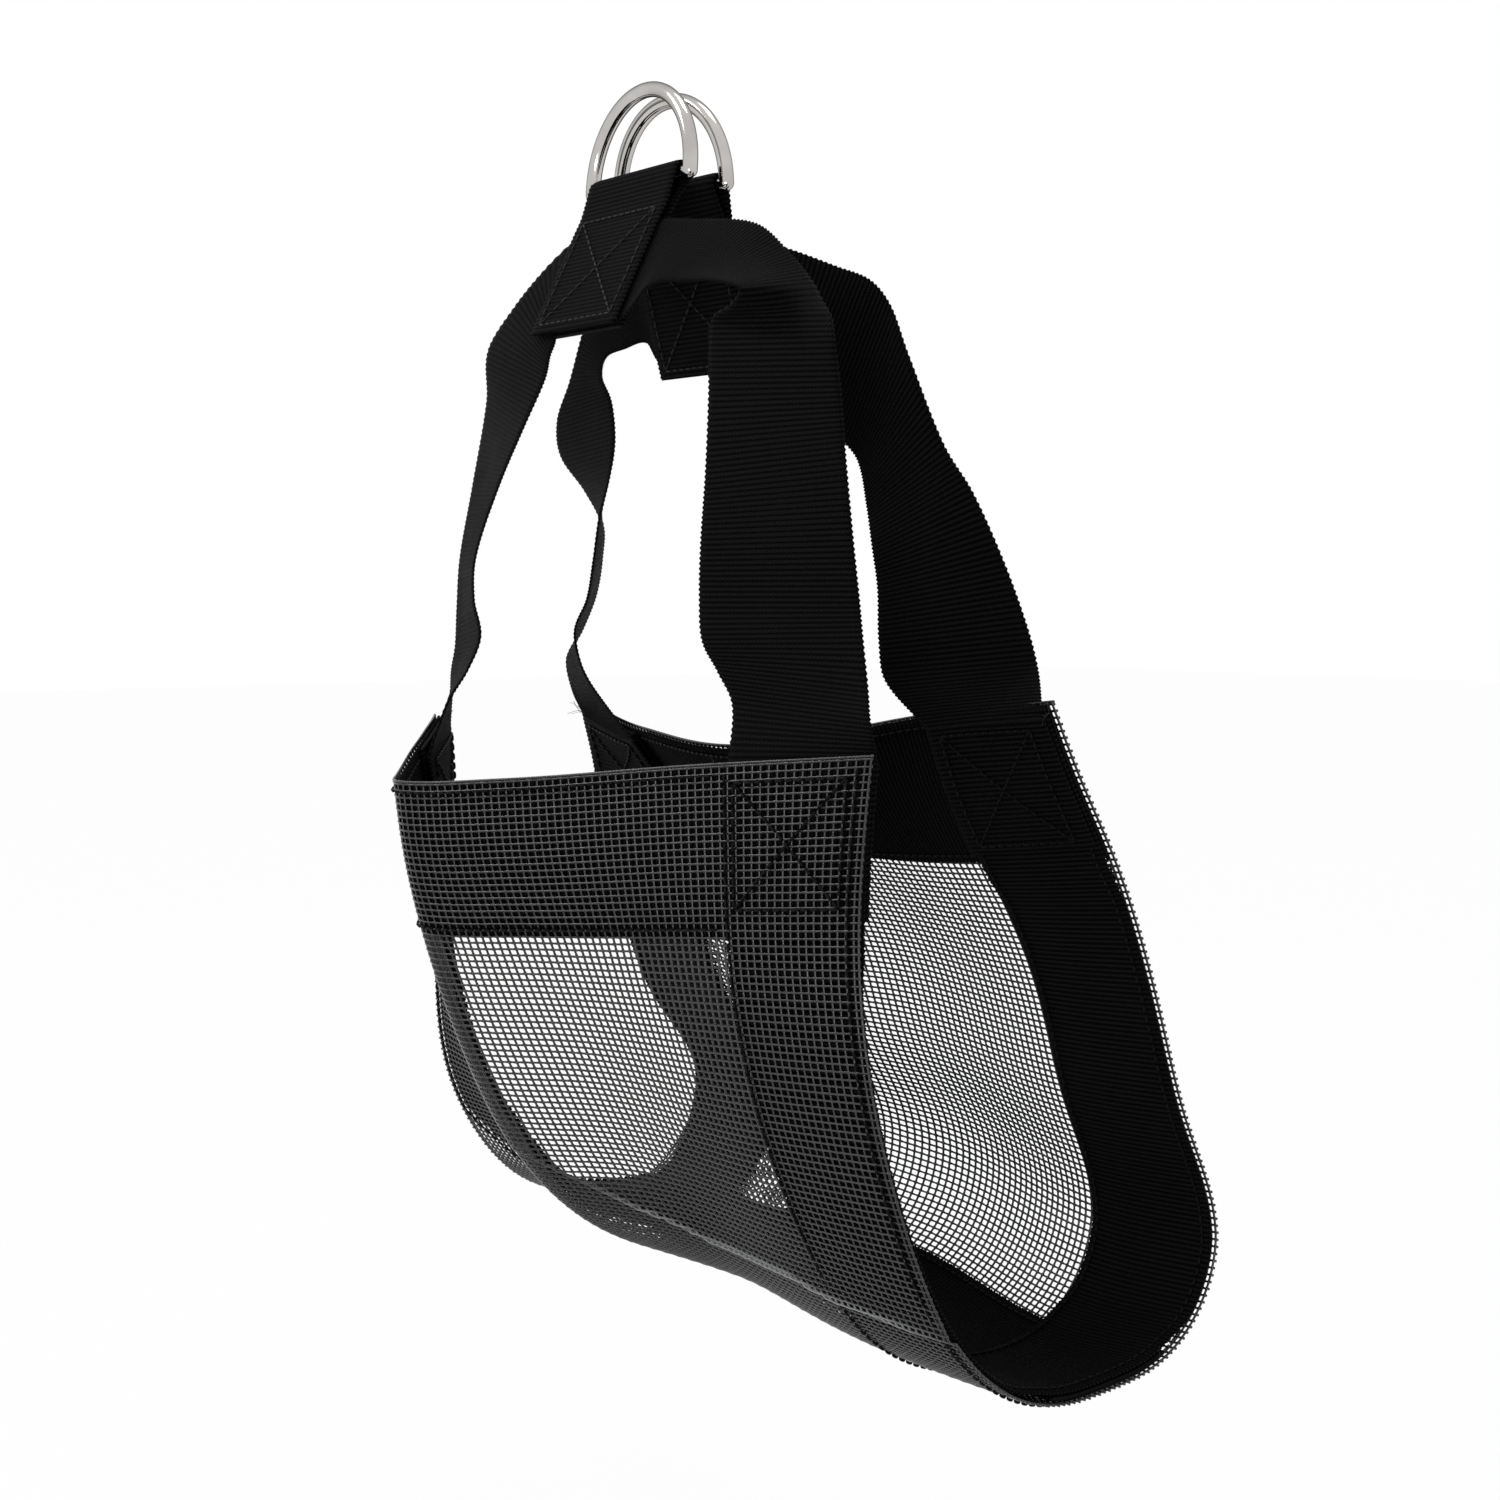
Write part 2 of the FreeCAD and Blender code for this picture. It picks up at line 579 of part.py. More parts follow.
SIDES = (("near", NEAR_BAR_Y, NEAR_BAR_Z, NEAR_TAB_SLOPE, 0.0, NEAR_TAB_LENGTH, NEAR_HINGE_Y,
          (NEAR_RIGHT_X, NEAR_RIGHT_LEG), (NEAR_LEFT_X, NEAR_LEFT_LEG)),
         ("far", FAR_BAR_Y, FAR_BAR_Z, FAR_TAB_SLOPE, FAR_TURN, FAR_TAB_LENGTH, FAR_HINGE_Y,
          (FAR_RIGHT_X, FAR_RIGHT_LEG), (FAR_LEFT_X, FAR_LEFT_LEG)))
for name, bar_y, bar_z, slope, turn, length, hinge_y, right, left in SIDES:
    export(ring(bar_y, bar_z, turn), name + "_ring")
    export(tab(bar_y, bar_z, slope, turn, length), name + "_tab")
    export(tab_stitching(bar_y, bar_z, slope, turn, length), name + "_tab_stitching")
    export(strap(bar_y, bar_z, slope, turn, hinge_y, right, left), name + "_handle_strap")
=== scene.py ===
import math

import bpy
import numpy as np
from mathutils import Matrix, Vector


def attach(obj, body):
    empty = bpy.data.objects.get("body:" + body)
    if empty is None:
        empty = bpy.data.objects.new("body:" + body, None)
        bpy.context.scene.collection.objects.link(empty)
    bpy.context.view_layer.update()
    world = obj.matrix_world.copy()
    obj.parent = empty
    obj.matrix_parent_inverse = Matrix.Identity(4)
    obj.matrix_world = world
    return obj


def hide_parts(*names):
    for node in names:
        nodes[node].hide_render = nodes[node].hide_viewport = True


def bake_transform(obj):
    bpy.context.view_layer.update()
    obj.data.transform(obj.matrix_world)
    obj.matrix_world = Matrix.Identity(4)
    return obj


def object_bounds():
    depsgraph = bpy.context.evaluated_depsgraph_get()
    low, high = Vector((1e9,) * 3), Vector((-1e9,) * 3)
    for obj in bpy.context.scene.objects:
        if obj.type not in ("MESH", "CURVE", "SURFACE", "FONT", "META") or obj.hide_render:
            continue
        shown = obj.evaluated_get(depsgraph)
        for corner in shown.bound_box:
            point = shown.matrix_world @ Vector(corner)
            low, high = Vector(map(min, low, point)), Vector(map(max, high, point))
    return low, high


# A sling of coated mesh with two webbing handles and two D-rings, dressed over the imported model
# in the model's own frame. Lengths are in millimetres until a mesh is made. A place on the mesh
# sheet is (u, v): u runs from its right end to its left end, and v round the trough, from the
# near lip, under the bottom, to the far lip.

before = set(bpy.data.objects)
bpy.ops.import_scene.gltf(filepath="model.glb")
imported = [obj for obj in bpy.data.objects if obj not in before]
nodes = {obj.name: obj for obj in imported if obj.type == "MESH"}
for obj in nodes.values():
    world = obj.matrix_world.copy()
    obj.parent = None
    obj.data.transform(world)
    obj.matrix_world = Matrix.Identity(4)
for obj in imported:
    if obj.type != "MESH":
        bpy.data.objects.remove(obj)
cad_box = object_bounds()
rng = np.random.default_rng(7)

MM = 0.001                   # one millimetre in metres

# ---- sizes ----
PANEL_LENGTH = 260.0
PANEL_GIRTH = 480.0
CELLS_ALONG = 92             # mesh cells, 9 by 12 to the inch
CELLS_ROUND = 226
CELL_ALONG = PANEL_LENGTH / CELLS_ALONG
CELL_ROUND = PANEL_GIRTH / CELLS_ROUND
MESH_THICK = 1.0
WEB_WIDTH = 50.0
WEB_THICK = 1.3
RIB = 1.6                    # pitch of the ribs, which run across the webbing
ROW_STEP = RIB / 4           # the webbing's rows of points
ACROSS = 22                  # points in each row
LAYER_GAP = 0.35
END_MARGIN = 3.0
LIP_MARGIN = 0.5
SEWN_LENGTH = 45.0
STITCH_INSET = 3.0
BOX_INSET = 6.0
RING_WIRE = 5.0
RING_RUN = 0.15              # running gap round the ring's bar
TAB_CLOSE = 11.0             # below the bar, where the tab's two layers meet
GRIP_DEPTH = 36.0            # below the bar, where the handle passes through the tab
GRIP_GATHER = 0.72           # share of its width that the handle keeps there

# ---- the hanging panel ----
LIP_DROP = 208.0             # the lips hang this far below the frame's origin
NEAR_LIP_Y = -32.0
FAR_LIP_Y = 31.0
LIP_START_X = 151.0          # the right end of the near lip, of the bottom and of the far wall
BOTTOM_START_X = 166.0
BOTTOM_RUN = 0.995           # length along x for each millimetre of u
FAR_START_X = 155.0
FAR_RUN = 0.97
# The near lip turns to and fro (degrees from x), and rises and falls, along its length.
LIP_SHARE = [0.0, 0.23, 0.635, 0.69, 1.0]
LIP_TURN = [21.0, 19.0, 18.0, -36.0, -33.0]
RISE_SHARE = [0.0, 0.23, 0.5, 0.69, 0.81, 0.9, 1.0]
NEAR_RISE = [0.0, -5.0, -12.0, -14.0, -6.0, -1.0, 2.0]
# The far lip's sideways shift and its rise.
FAR_SHARE = [0.0, 0.21, 0.5, 0.79, 1.0]
FAR_SHIFT = [0.0, -2.0, -18.0, -8.0, 5.0]
FAR_RISE = [13.0, 7.0, -6.0, -4.0, 2.0]
# Direction of the profile, in degrees (0 is down, 90 towards the far side, 180 up): one row
# for each station along the panel, one column for each share of the girth.
STATION_SHARE = [0.0, 0.21, 0.5, 0.79, 1.0]
ROUND_SHARE = [0.025, 0.08, 0.145, 0.23, 0.31, 0.4, 0.475, 0.525, 0.595, 0.675, 0.76, 0.85,
               0.92, 0.975]
PROFILE_TURN = [
    [-9, -8, 0, 12, 25, 54, 90, 98, 145, 200, 194, 199, 208, 204],
    [0, 0, 7, 18, 30, 55, 82, 102, 147, 200, 194, 208, 209, 199],
    [4, 16, 22, 26, 37, 62, 87, 108, 154, 207, 197, 214, 220, 220],
    [8, 10, 14, 24, 45, 72, 98, 128, 170, 207, 196, 186, 190, 210],
    [4, 2, 0, 8, 31, 60, 96, 128, 158, 208, 194, 182, 182, 186],
]
BOTTOM_SHARE = 0.354         # shares of the girth at which the bottom and the far wall start
FAR_WALL_SHARE = 0.635
PULL_SHARE = 0.45            # beyond this share the profile is drawn to the far lip's place
COLUMNS = 130                # grid of the panel: steps along it, and round it
STEPS = 240
LIP_STEPS = 130              # steps along the near lip
# The near wall's slack swells at its lower left and along its turn: place (u, v), length,
# width and height of each swelling.
SWELLS = [(226.0, 182.0, 30.0, 26.0, 5.5), (92.0, 186.0, 42.0, 26.0, 2.8)]
SWELL_WAY = np.array([-0.1, -0.55, -0.83])
# The fold line that runs along the near wall above its turn, as (u, v).
CREASE = [(12.0, 167.0), (54.0, 164.0), (70.0, 160.0), (94.0, 160.0), (114.0, 160.0),
          (138.0, 152.0), (154.0, 140.0), (170.0, 130.0)]
CREASE_U = [p[0] for p in CREASE]
CREASE_V = [p[1] for p in CREASE]
CREASE_HEIGHT = 1.6
CREASE_START = (-12.0, 12.0) # u where the fold line starts to rise, and over what length
CREASE_END = (185.0, 30.0)   # u where it has died away, and over what length
CREASE_SLOPE = 10.0          # its gentle side, above the line
CREASE_DROP = 1.3            # its steep side, below the line


def between(x, xs, ys):
    """Smooth curve through the values ys at xs."""
    if x <= xs[0]:
        return ys[0]
    if x >= xs[-1]:
        return ys[-1]
    i = 0
    while x > xs[i + 1]:
        i += 1
    lo = max(i - 1, 0)
    hi = min(i + 2, len(xs) - 1)
    m0 = (ys[i + 1] - ys[lo]) / (xs[i + 1] - xs[lo])
    m1 = (ys[hi] - ys[i]) / (xs[hi] - xs[i])
    h = xs[i + 1] - xs[i]
    t = (x - xs[i]) / h
    return ((2 * t ** 3 - 3 * t * t + 1) * ys[i] + (t ** 3 - 2 * t * t + t) * h * m0
            + (3 * t * t - 2 * t ** 3) * ys[i + 1] + (t ** 3 - t * t) * h * m1)


def ease(t):
    """Smooth step from 0 to 1."""
    t = np.clip(t, 0.0, 1.0)
    return t * t * (3 - 2 * t)


def unit(a):
    """Vectors made one long."""
    return a / np.maximum(np.linalg.norm(a, axis=-1, keepdims=True), 1e-9)


def running(points):
    """Length along a line of points [n, 3], up to each point."""
    return np.concatenate([[0], np.cumsum(np.linalg.norm(np.diff(points, axis=0), axis=1))])


def near_lip(share):
    """Place of the near lip at a share of the panel's length."""
    x = LIP_START_X
    y = NEAR_LIP_Y
    step = PANEL_LENGTH * share / LIP_STEPS
    for k in range(LIP_STEPS):
        turn = math.radians(between(share * (k + 0.5) / LIP_STEPS, LIP_SHARE, LIP_TURN))
        x -= step * math.cos(turn)
        y -= step * math.sin(turn)
    return x, y, -LIP_DROP + between(share, RISE_SHARE, NEAR_RISE)


def profile(u):
    """Points round the panel's inner face at u along it, from the near lip to the far lip."""
    share = u / PANEL_LENGTH
    turns = [between(share, STATION_SHARE, [row[k] for row in PROFILE_TURN])
             for k in range(len(ROUND_SHARE))]
    x0, y0, z0 = near_lip(share)
    step = PANEL_GIRTH / STEPS
    turn = np.radians([between((k + 0.5) / STEPS, ROUND_SHARE, turns) for k in range(STEPS)])
    ys = y0 + np.concatenate([[0], np.cumsum(step * np.sin(turn))])
    zs = z0 - np.concatenate([[0], np.cumsum(step * np.cos(turn))])
    end_y = FAR_LIP_Y + between(share, FAR_SHARE, FAR_SHIFT)
    end_z = -LIP_DROP + between(share, FAR_SHARE, FAR_RISE)
    bottom_x = BOTTOM_START_X - BOTTOM_RUN * u
    far_x = FAR_START_X - FAR_RUN * u
    t = np.arange(STEPS + 1) / STEPS
    pull = np.maximum(0.0, (t - PULL_SHARE) / (1 - PULL_SHARE))
    far_wall = np.maximum(0.0, (t - FAR_WALL_SHARE) / (1 - FAR_WALL_SHARE))
    xs = x0 + (bottom_x - x0) * ease(t / BOTTOM_SHARE)
    xs = xs + (far_x - bottom_x) * far_wall
    points = np.stack([xs, ys + (end_y - ys[-1]) * pull, zs + (end_z - zs[-1]) * pull], 1)
    v = t * PANEL_GIRTH
    swell = sum(high * np.exp(-((u - at_u) / long) ** 2 - ((v - at_v) / wide) ** 2)
                for at_u, at_v, long, wide, high in SWELLS)
    return points + swell[:, None] * SWELL_WAY


PANEL = np.array([profile(PANEL_LENGTH * k / COLUMNS) for k in range(COLUMNS + 1)])
ALONG = np.gradient(PANEL, axis=0)
ROUND = np.gradient(PANEL, axis=1)
OUT = unit(np.cross(ALONG, ROUND))


def on_panel(u, v, offset):
    """Points on the panel, moved outward by the offset."""
    u, v, offset = np.broadcast_arrays(np.asarray(u, float), v, offset)
    a = np.clip(u / PANEL_LENGTH, 0, 1) * COLUMNS
    b = v / PANEL_GIRTH * STEPS
    i = np.clip(np.floor(a).astype(int), 0, COLUMNS - 1)
    j = np.clip(np.floor(b).astype(int), 0, STEPS - 1)
    s = (a - i)[..., None]
    t = (b - j)[..., None]

    def mix(grid, t):
        this = grid[i, j] * (1 - t) + grid[i, j + 1] * t
        after = grid[i + 1, j] * (1 - t) + grid[i + 1, j + 1] * t
        return this * (1 - s) + after * s

    return mix(PANEL, t) + unit(mix(OUT, np.clip(t, 0, 1))) * offset[..., None]


def panel_out(u, v):
    """Outward direction of the panel."""
    return unit(on_panel(u, v, 1.0) - on_panel(u, v, 0.0))


def crease(u, v):
    """How far the mesh stands out beside the fold line."""
    start, rise = CREASE_START
    end, fall = CREASE_END
    fade = ease((u - start) / rise) * ease((end - u) / fall)
    below = v - np.interp(u, CREASE_U, CREASE_V)
    return CREASE_HEIGHT * fade * np.where(below < 0,
                                           np.exp(np.minimum(below, 0) / CREASE_SLOPE),
                                           np.exp(-(below / CREASE_DROP) ** 2))


# ---- mesh making ----
YARN_SIDES = 6
FIBRE_SIDES = 4
CAP_QUADS = ([0, 1, 2, 3], [0, 3, 4, 5])   # corners of the two faces that close a yarn
RIB_DEPTH = 0.4              # the webbing is thinner by this share between two ribs
KNOB = 0.22                  # how far each rib stands out at the selvedge
EDGE_FROM = 0.94             # the selvedge thins beyond this share of the half width
EDGE_THIN = 0.62             # share of the squared half thickness that it loses at the edge
EDGE_LEAST = 0.05
STITCH_LONG = 2.7
STITCH_POINTS = 7
STITCH_BOW = 0.9             # how high a stitch bows at its middle, as a share of its radius
STITCH_SINK = 0.1            # how deep it is pulled into the cloth
STITCH_TIP = 0.08            # share of its squared radius that is left at its ends


def piece(name, verts, quads, material, body, uv=None):
    """Mesh object from points in millimetres and quads; uv has one row for each vertex."""
    me = bpy.data.meshes.new(name)
    quads = np.asarray(quads, np.int32)
    me.vertices.add(len(verts))
    me.vertices.foreach_set("co", (np.asarray(verts, float) * MM).astype(np.float32).ravel())
    me.loops.add(quads.size)
    me.loops.foreach_set("vertex_index", quads.ravel())
    me.polygons.add(len(quads))
    me.polygons.foreach_set("loop_start", np.arange(0, quads.size, 4, dtype=np.int32))
    me.update(calc_edges=True)
    me.polygons.foreach_set("use_smooth", np.ones(len(quads), bool))
    if uv is not None:
        layer = me.uv_layers.new(name="weave")
        layer.uv.foreach_set("vector", np.asarray(uv, np.float32)[quads.ravel()].ravel())
    me.validate()
    me.materials.append(material)
    ob = bpy.data.objects.new(name, me)
    bpy.context.scene.collection.objects.link(ob)
    if body:
        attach(ob, body)
    return ob


def join(parts):
    """One set of points and quads from several."""
    verts, quads, base = [], [], 0
    for points, faces in parts:
        verts.append(points)
        quads.append(faces + base)
        base += len(points)
    return np.concatenate(verts), np.concatenate(quads)


def tubes(path, out, wide, high, sides=YARN_SIDES):
    """Round yarns along paths [n, m, 3]; wide and high are half sizes, [n, m] or a number."""
    n, m = path.shape[:2]
    tangent = unit(np.gradient(path, axis=1))
    across = unit(np.cross(tangent, out))
    up = np.cross(across, tangent)
    wide = np.broadcast_to(wide, (n, m))
    high = np.broadcast_to(high, (n, m))
    angle = 2 * math.pi * (np.arange(sides) + 0.5) / sides
    ring = (path[:, :, None] + across[:, :, None] * (wide[..., None] * np.cos(angle))[..., None]
            + up[:, :, None] * (high[..., None] * np.sin(angle))[..., None])
    index = np.arange(n * m * sides).reshape(n, m, sides)
    after = np.roll(index, -1, axis=2)
    quads = [np.stack([index[:, :-1], index[:, 1:], after[:, 1:], after[:, :-1]], -1)
             .reshape(-1, 4)]
    if sides == YARN_SIDES:
        quads += [index[:, 0][:, corners] for corners in CAP_QUADS]
        quads += [index[:, -1][:, corners[::-1]] for corners in CAP_QUADS]
    return ring.reshape(-1, 3), np.concatenate(quads)


def ribbon(mid, out, rib_at):
    """Webbing along a grid of mid-plane points [n, m, 3]; rib_at is the length at each row."""
    n, m = mid.shape[:2]
    mid = mid.copy()
    rib = np.cos(2 * math.pi * rib_at / RIB)
    knob = KNOB * rib[:, None]
    mid[:, 0] += unit(mid[:, 0] - mid[:, 1]) * knob
    mid[:, -1] += unit(mid[:, -1] - mid[:, -2]) * knob
    beyond = (np.abs(np.linspace(-1, 1, m)) - EDGE_FROM).clip(0) / (1 - EDGE_FROM)
    edge = np.sqrt(np.clip(1 - beyond ** 2 * EDGE_THIN, EDGE_LEAST, 1))
    wave = 1 - RIB_DEPTH * (0.5 - 0.5 * rib)
    half = WEB_THICK / 2 * wave[:, None] * edge[None, :]
    top = mid + out * half[..., None]
    low = mid - out * half[..., None]
    verts = np.concatenate([top.reshape(-1, 3), low.reshape(-1, 3)])
    a = np.arange(n * m).reshape(n, m)
    b = a + n * m
    quads = [np.stack([a[:-1, :-1], a[1:, :-1], a[1:, 1:], a[:-1, 1:]], -1).reshape(-1, 4),
             np.stack([b[:-1, :-1], b[:-1, 1:], b[1:, 1:], b[1:, :-1]], -1).reshape(-1, 4),
             np.stack([a[:-1, 0], b[:-1, 0], b[1:, 0], a[1:, 0]], -1),
             np.stack([a[:-1, -1], a[1:, -1], b[1:, -1], b[:-1, -1]], -1),
             np.stack([a[0, :-1], a[0, 1:], b[0, 1:], b[0, :-1]], -1),
             np.stack([a[-1, :-1], b[-1, :-1], b[-1, 1:], a[-1, 1:]], -1)]
    one = np.stack(np.broadcast_arrays(rib_at[:, None], running(mid[n // 2])[None, :]), -1)
    uv = one.reshape(-1, 2) * MM
    return verts, np.concatenate(quads), np.concatenate([uv, uv])


def stitches(path, out, gap, radius):
    """A row of lock stitches along a path [m, 3]: low capsules, each a little bowed."""
    run = running(path)
    count = max(1, int(run[-1] / (STITCH_LONG + gap)))
    step = run[-1] / count
    share = np.linspace(-0.5, 0.5, STITCH_POINTS)
    at = (np.arange(count) + 0.5) * step
    s = at[:, None] + share[None, :] * step * STITCH_LONG / (STITCH_LONG + gap)

    def along(grid):
        return np.stack([np.interp(s, run, grid[:, k]) for k in range(3)], -1)

    up = unit(along(out))
    bow = 1 - (2 * share) ** 4
    lift = bow * (radius * STITCH_BOW) - STITCH_SINK
    size = radius * np.sqrt(np.clip(bow, STITCH_TIP, 1))
    return tubes(along(path) + up * lift[None, :, None], up, size, size)


# ---- materials ----
class Nodes:
    """A node material with its shader, and short calls that add nodes to it."""

    def __init__(self, name):
        self.mat = bpy.data.materials.new(name)
        self.mat.use_nodes = True
        self.tree = self.mat.node_tree
        self.tree.nodes.clear()
        self.shader = self.add("ShaderNodeBsdfPrincipled")
        self.out = self.add("ShaderNodeOutputMaterial")
        self.link(self.shader, "BSDF", self.out, "Surface")
        self.place = self.add("ShaderNodeTexCoord")

    def add(self, kind, **values):
        node = self.tree.nodes.new(kind)
        for key, value in values.items():
            if key in node.inputs:
                node.inputs[key].default_value = value
            else:
                setattr(node, key, value)
        return node

    def link(self, a, a_out, b, b_in):
        self.tree.links.new(a.outputs[a_out], b.inputs[b_in])

    def noise(self, scale, detail):
        node = self.add("ShaderNodeTexNoise", Scale=scale, Detail=detail, Roughness=0.55)
        self.link(self.place, "Object", node, "Vector")
        return node

    def ramp(self, source, out, stops):
        node = self.add("ShaderNodeValToRGB")
        band = node.color_ramp
        for k, (at, colour) in enumerate(stops):
            e = band.elements[k] if k < 2 else band.elements.new(at)
            e.position = at
            e.color = (*colour, 1) if hasattr(colour, "__len__") else (colour,) * 3 + (1,)
        self.link(source, out, node, "Fac")
        return node

    def math(self, kind, *values):
        """A value is a number, or a node and its output."""
        node = self.add("ShaderNodeMath", operation=kind)
        for k, value in enumerate(values):
            if isinstance(value, tuple):
                self.tree.links.new(value[0].outputs[value[1]], node.inputs[k])
            else:
                node.inputs[k].default_value = value
        return node

    def paint(self, colour, rough):
        """Colour and roughness from two ramps."""
        self.link(colour, "Color", self.shader, "Base Color")
        self.link(rough, "Color", self.shader, "Roughness")

    def bump(self, source, out, distance, strength=1.0):
        node = self.add("ShaderNodeBump", Distance=distance, Strength=strength)
        self.link(source, out, node, "Height")
        self.link(node, "Normal", self.shader, "Normal")

    def constant(self, **values):
        """Values that are the same all over, on the shader's own sockets."""
        for key, value in values.items():
            self.shader.inputs[key.replace("_", " ")].default_value = value


# A box round the fold line, in metres, for the painted highlight along it: its low corner and its
# size. Places in it are shares of that size.
HIGHLIGHT_BOX_LOW = np.array([-0.02, -0.06, -0.40])
HIGHLIGHT_BOX_SIZE = np.array([0.20, 0.06, 0.06])
HIGHLIGHT_REACH = 3.4 / 60.0    # half the width of the painted highlight line
HIGHLIGHT_ENDS = [(0.16, 0.0), (0.26, 1.0), (0.8, 1.0), (0.93, 0.0)]

# Stops of the colour ramps.
# The coating's own dark tones, and at its top stop the pale grey of the painted highlight on the
# fold line.
COATING_AND_HIGHLIGHT = [(0.06, (0.003, 0.0031, 0.0033)), (0.144, (0.009, 0.0092, 0.0099)),
           (0.9, (0.2, 0.203, 0.208))]
COATING_ROUGH = [(0.3, 0.2), (0.75, 0.32)]
WEB_ROUGH = [(0.3, 0.62), (0.7, 0.78)]
THREAD_ROUGH = [(0.3, 0.42), (0.7, 0.6)]
NICKEL = [(0.3, (0.46, 0.442, 0.426)), (0.7, (0.58, 0.562, 0.546))]
NICKEL_ROUGH = [(0.3, 0.06), (0.75, 0.13)]
PALE = [(0.3, 0.9), (0.7, 0.93)]


# Scale and detail of the noises.
COATING_PATCHES = (38.0, 4.0)
COATING_GRAIN = (1900.0, 2.0)
WEB_PATCHES = (24.0, 4.0)
WEB_GRAIN = (900.0, 3.0)
THREAD_GRAIN = (700.0, 3.0)
NICKEL_PATCHES = (60.0, 4.0)
NICKEL_GRAIN = (1400.0, 2.0)
FLOOR_PATCHES = (9.0, 3.0)

# How high the finest relief stands, in millimetres.
COATING_RELIEF = 0.06
WEB_RELIEF = 0.12
THREAD_RELIEF = 0.05
NICKEL_RELIEF = 0.01
NICKEL_STRENGTH = 0.12

# Share of each cause in the tone of the mesh's coating, with its painted highlight on the fold
# line, and in the webbing's tone, with its painted shade between the ribs, and in its relief.
PATCH_TONE = 0.2
# Painted highlight: how pale the coating is painted along the fold line.
CREASE_HIGHLIGHT_TONE = 0.8
WEB_YARN = 0.85              # width of one fine yarn of the webbing
GRAIN_TONE = 0.5
# Painted shade: how much darker the valleys between the ribs are painted than their crowns.
RIB_SHADE_TONE = 0.48
YARN_TONE = 0.08
YARN_HEIGHT = 0.35
GRAIN_HEIGHT = 0.9


def painted_crease_highlight(m):
    """1 on the fold line, where a pale highlight is painted on the coating, and 0 away from it.
    """
    line = on_panel(CREASE_U, CREASE_V, MESH_THICK + CREASE_HEIGHT) * MM
    line = ((line - HIGHLIGHT_BOX_LOW) / HIGHLIGHT_BOX_SIZE)[::-1]
    place = m.add("ShaderNodeSeparateXYZ")
    m.link(m.place, "Object", place, "Vector")

    def share(axis):
        return m.math("MULTIPLY_ADD", (place, "XYZ"[axis]), 1 / HIGHLIGHT_BOX_SIZE[axis],
                      -HIGHLIGHT_BOX_LOW[axis] / HIGHLIGHT_BOX_SIZE[axis])

    along = share(0)
    squares = []
    for axis in (1, 2):
        middle = m.ramp(along, 0, [(float(p[0]), float(p[axis])) for p in line])
        away = m.math("SUBTRACT", (share(axis), 0), (middle, "Color"))
        squares.append(m.math("MULTIPLY", (away, 0), (away, 0)))
    total = m.math("ADD", (squares[0], 0), (squares[1], 0))
    near = m.math("MULTIPLY_ADD", (total, 0), -1 / HIGHLIGHT_REACH ** 2, 1.0)
    near = m.math("MAXIMUM", (near, 0), 0.0)
    ends = m.ramp(along, 0, HIGHLIGHT_ENDS)
    return m.math("MULTIPLY", (near, 0), (ends, "Color"))


def coated_yarn():
    """Black coated yarn, a little patchy, with a pale highlight painted along the fold line."""
    m = Nodes("coated_yarn")
    patchy = m.noise(*COATING_PATCHES)
    fine = m.noise(*COATING_GRAIN)
    tone = m.math("MULTIPLY_ADD", (patchy, "Fac"), PATCH_TONE, 0.0)
    # Painted highlight: a pale line along the fold line, where the yarns would catch the light.
    tone = m.math("MULTIPLY_ADD", (painted_crease_highlight(m), 0), CREASE_HIGHLIGHT_TONE, (tone, 0))
    m.paint(m.ramp(tone, 0, COATING_AND_HIGHLIGHT), m.ramp(fine, "Fac", COATING_ROUGH))
    m.constant(Specular_IOR_Level=0.5)
    m.bump(fine, "Fac", COATING_RELIEF * MM)
    return m.mat


def webbing(name, low, high):
    """Black ribbed webbing: fine yarns run along the ribs, and shade is painted in the valleys
    between the ribs, with the crowns painted lighter.
    """
    m = Nodes(name)
    uv = m.add("ShaderNodeUVMap", uv_map="weave")
    cut = m.add("ShaderNodeSeparateXYZ")
    m.link(uv, "UV", cut, "Vector")
    turn = m.math("MULTIPLY_ADD", (cut, "X"), 2 * math.pi / (RIB * MM), math.pi / 2)
    rib = m.math("SINE", (turn, 0))
    turn = m.math("MULTIPLY", (cut, "Y"), 2 * math.pi / (WEB_YARN * MM))
    yarn = m.math("SINE", (turn, 0))
    shift = m.math("MULTIPLY", (rib, 0), (yarn, 0))
    grain = m.noise(*WEB_GRAIN)
    patchy = m.noise(*WEB_PATCHES)
    height = m.math("MULTIPLY_ADD", (yarn, 0), YARN_HEIGHT, (shift, 0))
    height = m.math("MULTIPLY_ADD", (grain, "Fac"), GRAIN_HEIGHT, (height, 0))
    tone = m.math("MULTIPLY_ADD", (grain, "Fac"), GRAIN_TONE, (patchy, "Fac"))
    # Painted shade: the valleys between the ribs are painted darker and their crowns lighter.
    tone = m.math("MULTIPLY_ADD", (rib, 0), RIB_SHADE_TONE, (tone, 0))
    tone = m.math("MULTIPLY_ADD", (yarn, 0), YARN_TONE, (tone, 0))
    m.paint(m.ramp(tone, 0, [(0.45, low), (1.0, high)]), m.ramp(patchy, "Fac", WEB_ROUGH))
    m.constant(Specular_IOR_Level=0.025, Sheen_Weight=0.006, Sheen_Roughness=0.4)
    m.bump(height, 0, WEB_RELIEF * MM)
    return m.mat


def thread_material(name, low, high, gloss):
    """Twisted sewing thread."""
    m = Nodes(name)
    twist = m.add("ShaderNodeTexWave", Scale=900.0, Distortion=1.5, Detail=1.0,
                  bands_direction="DIAGONAL")
    m.link(m.place, "Object", twist, "Vector")
    m.paint(m.ramp(twist, "Fac", [(0.2, low), (0.85, high)]),
            m.ramp(m.noise(*THREAD_GRAIN), "Fac", THREAD_ROUGH))
    m.constant(Specular_IOR_Level=gloss)
    m.bump(twist, "Fac", THREAD_RELIEF * MM)
    return m.mat


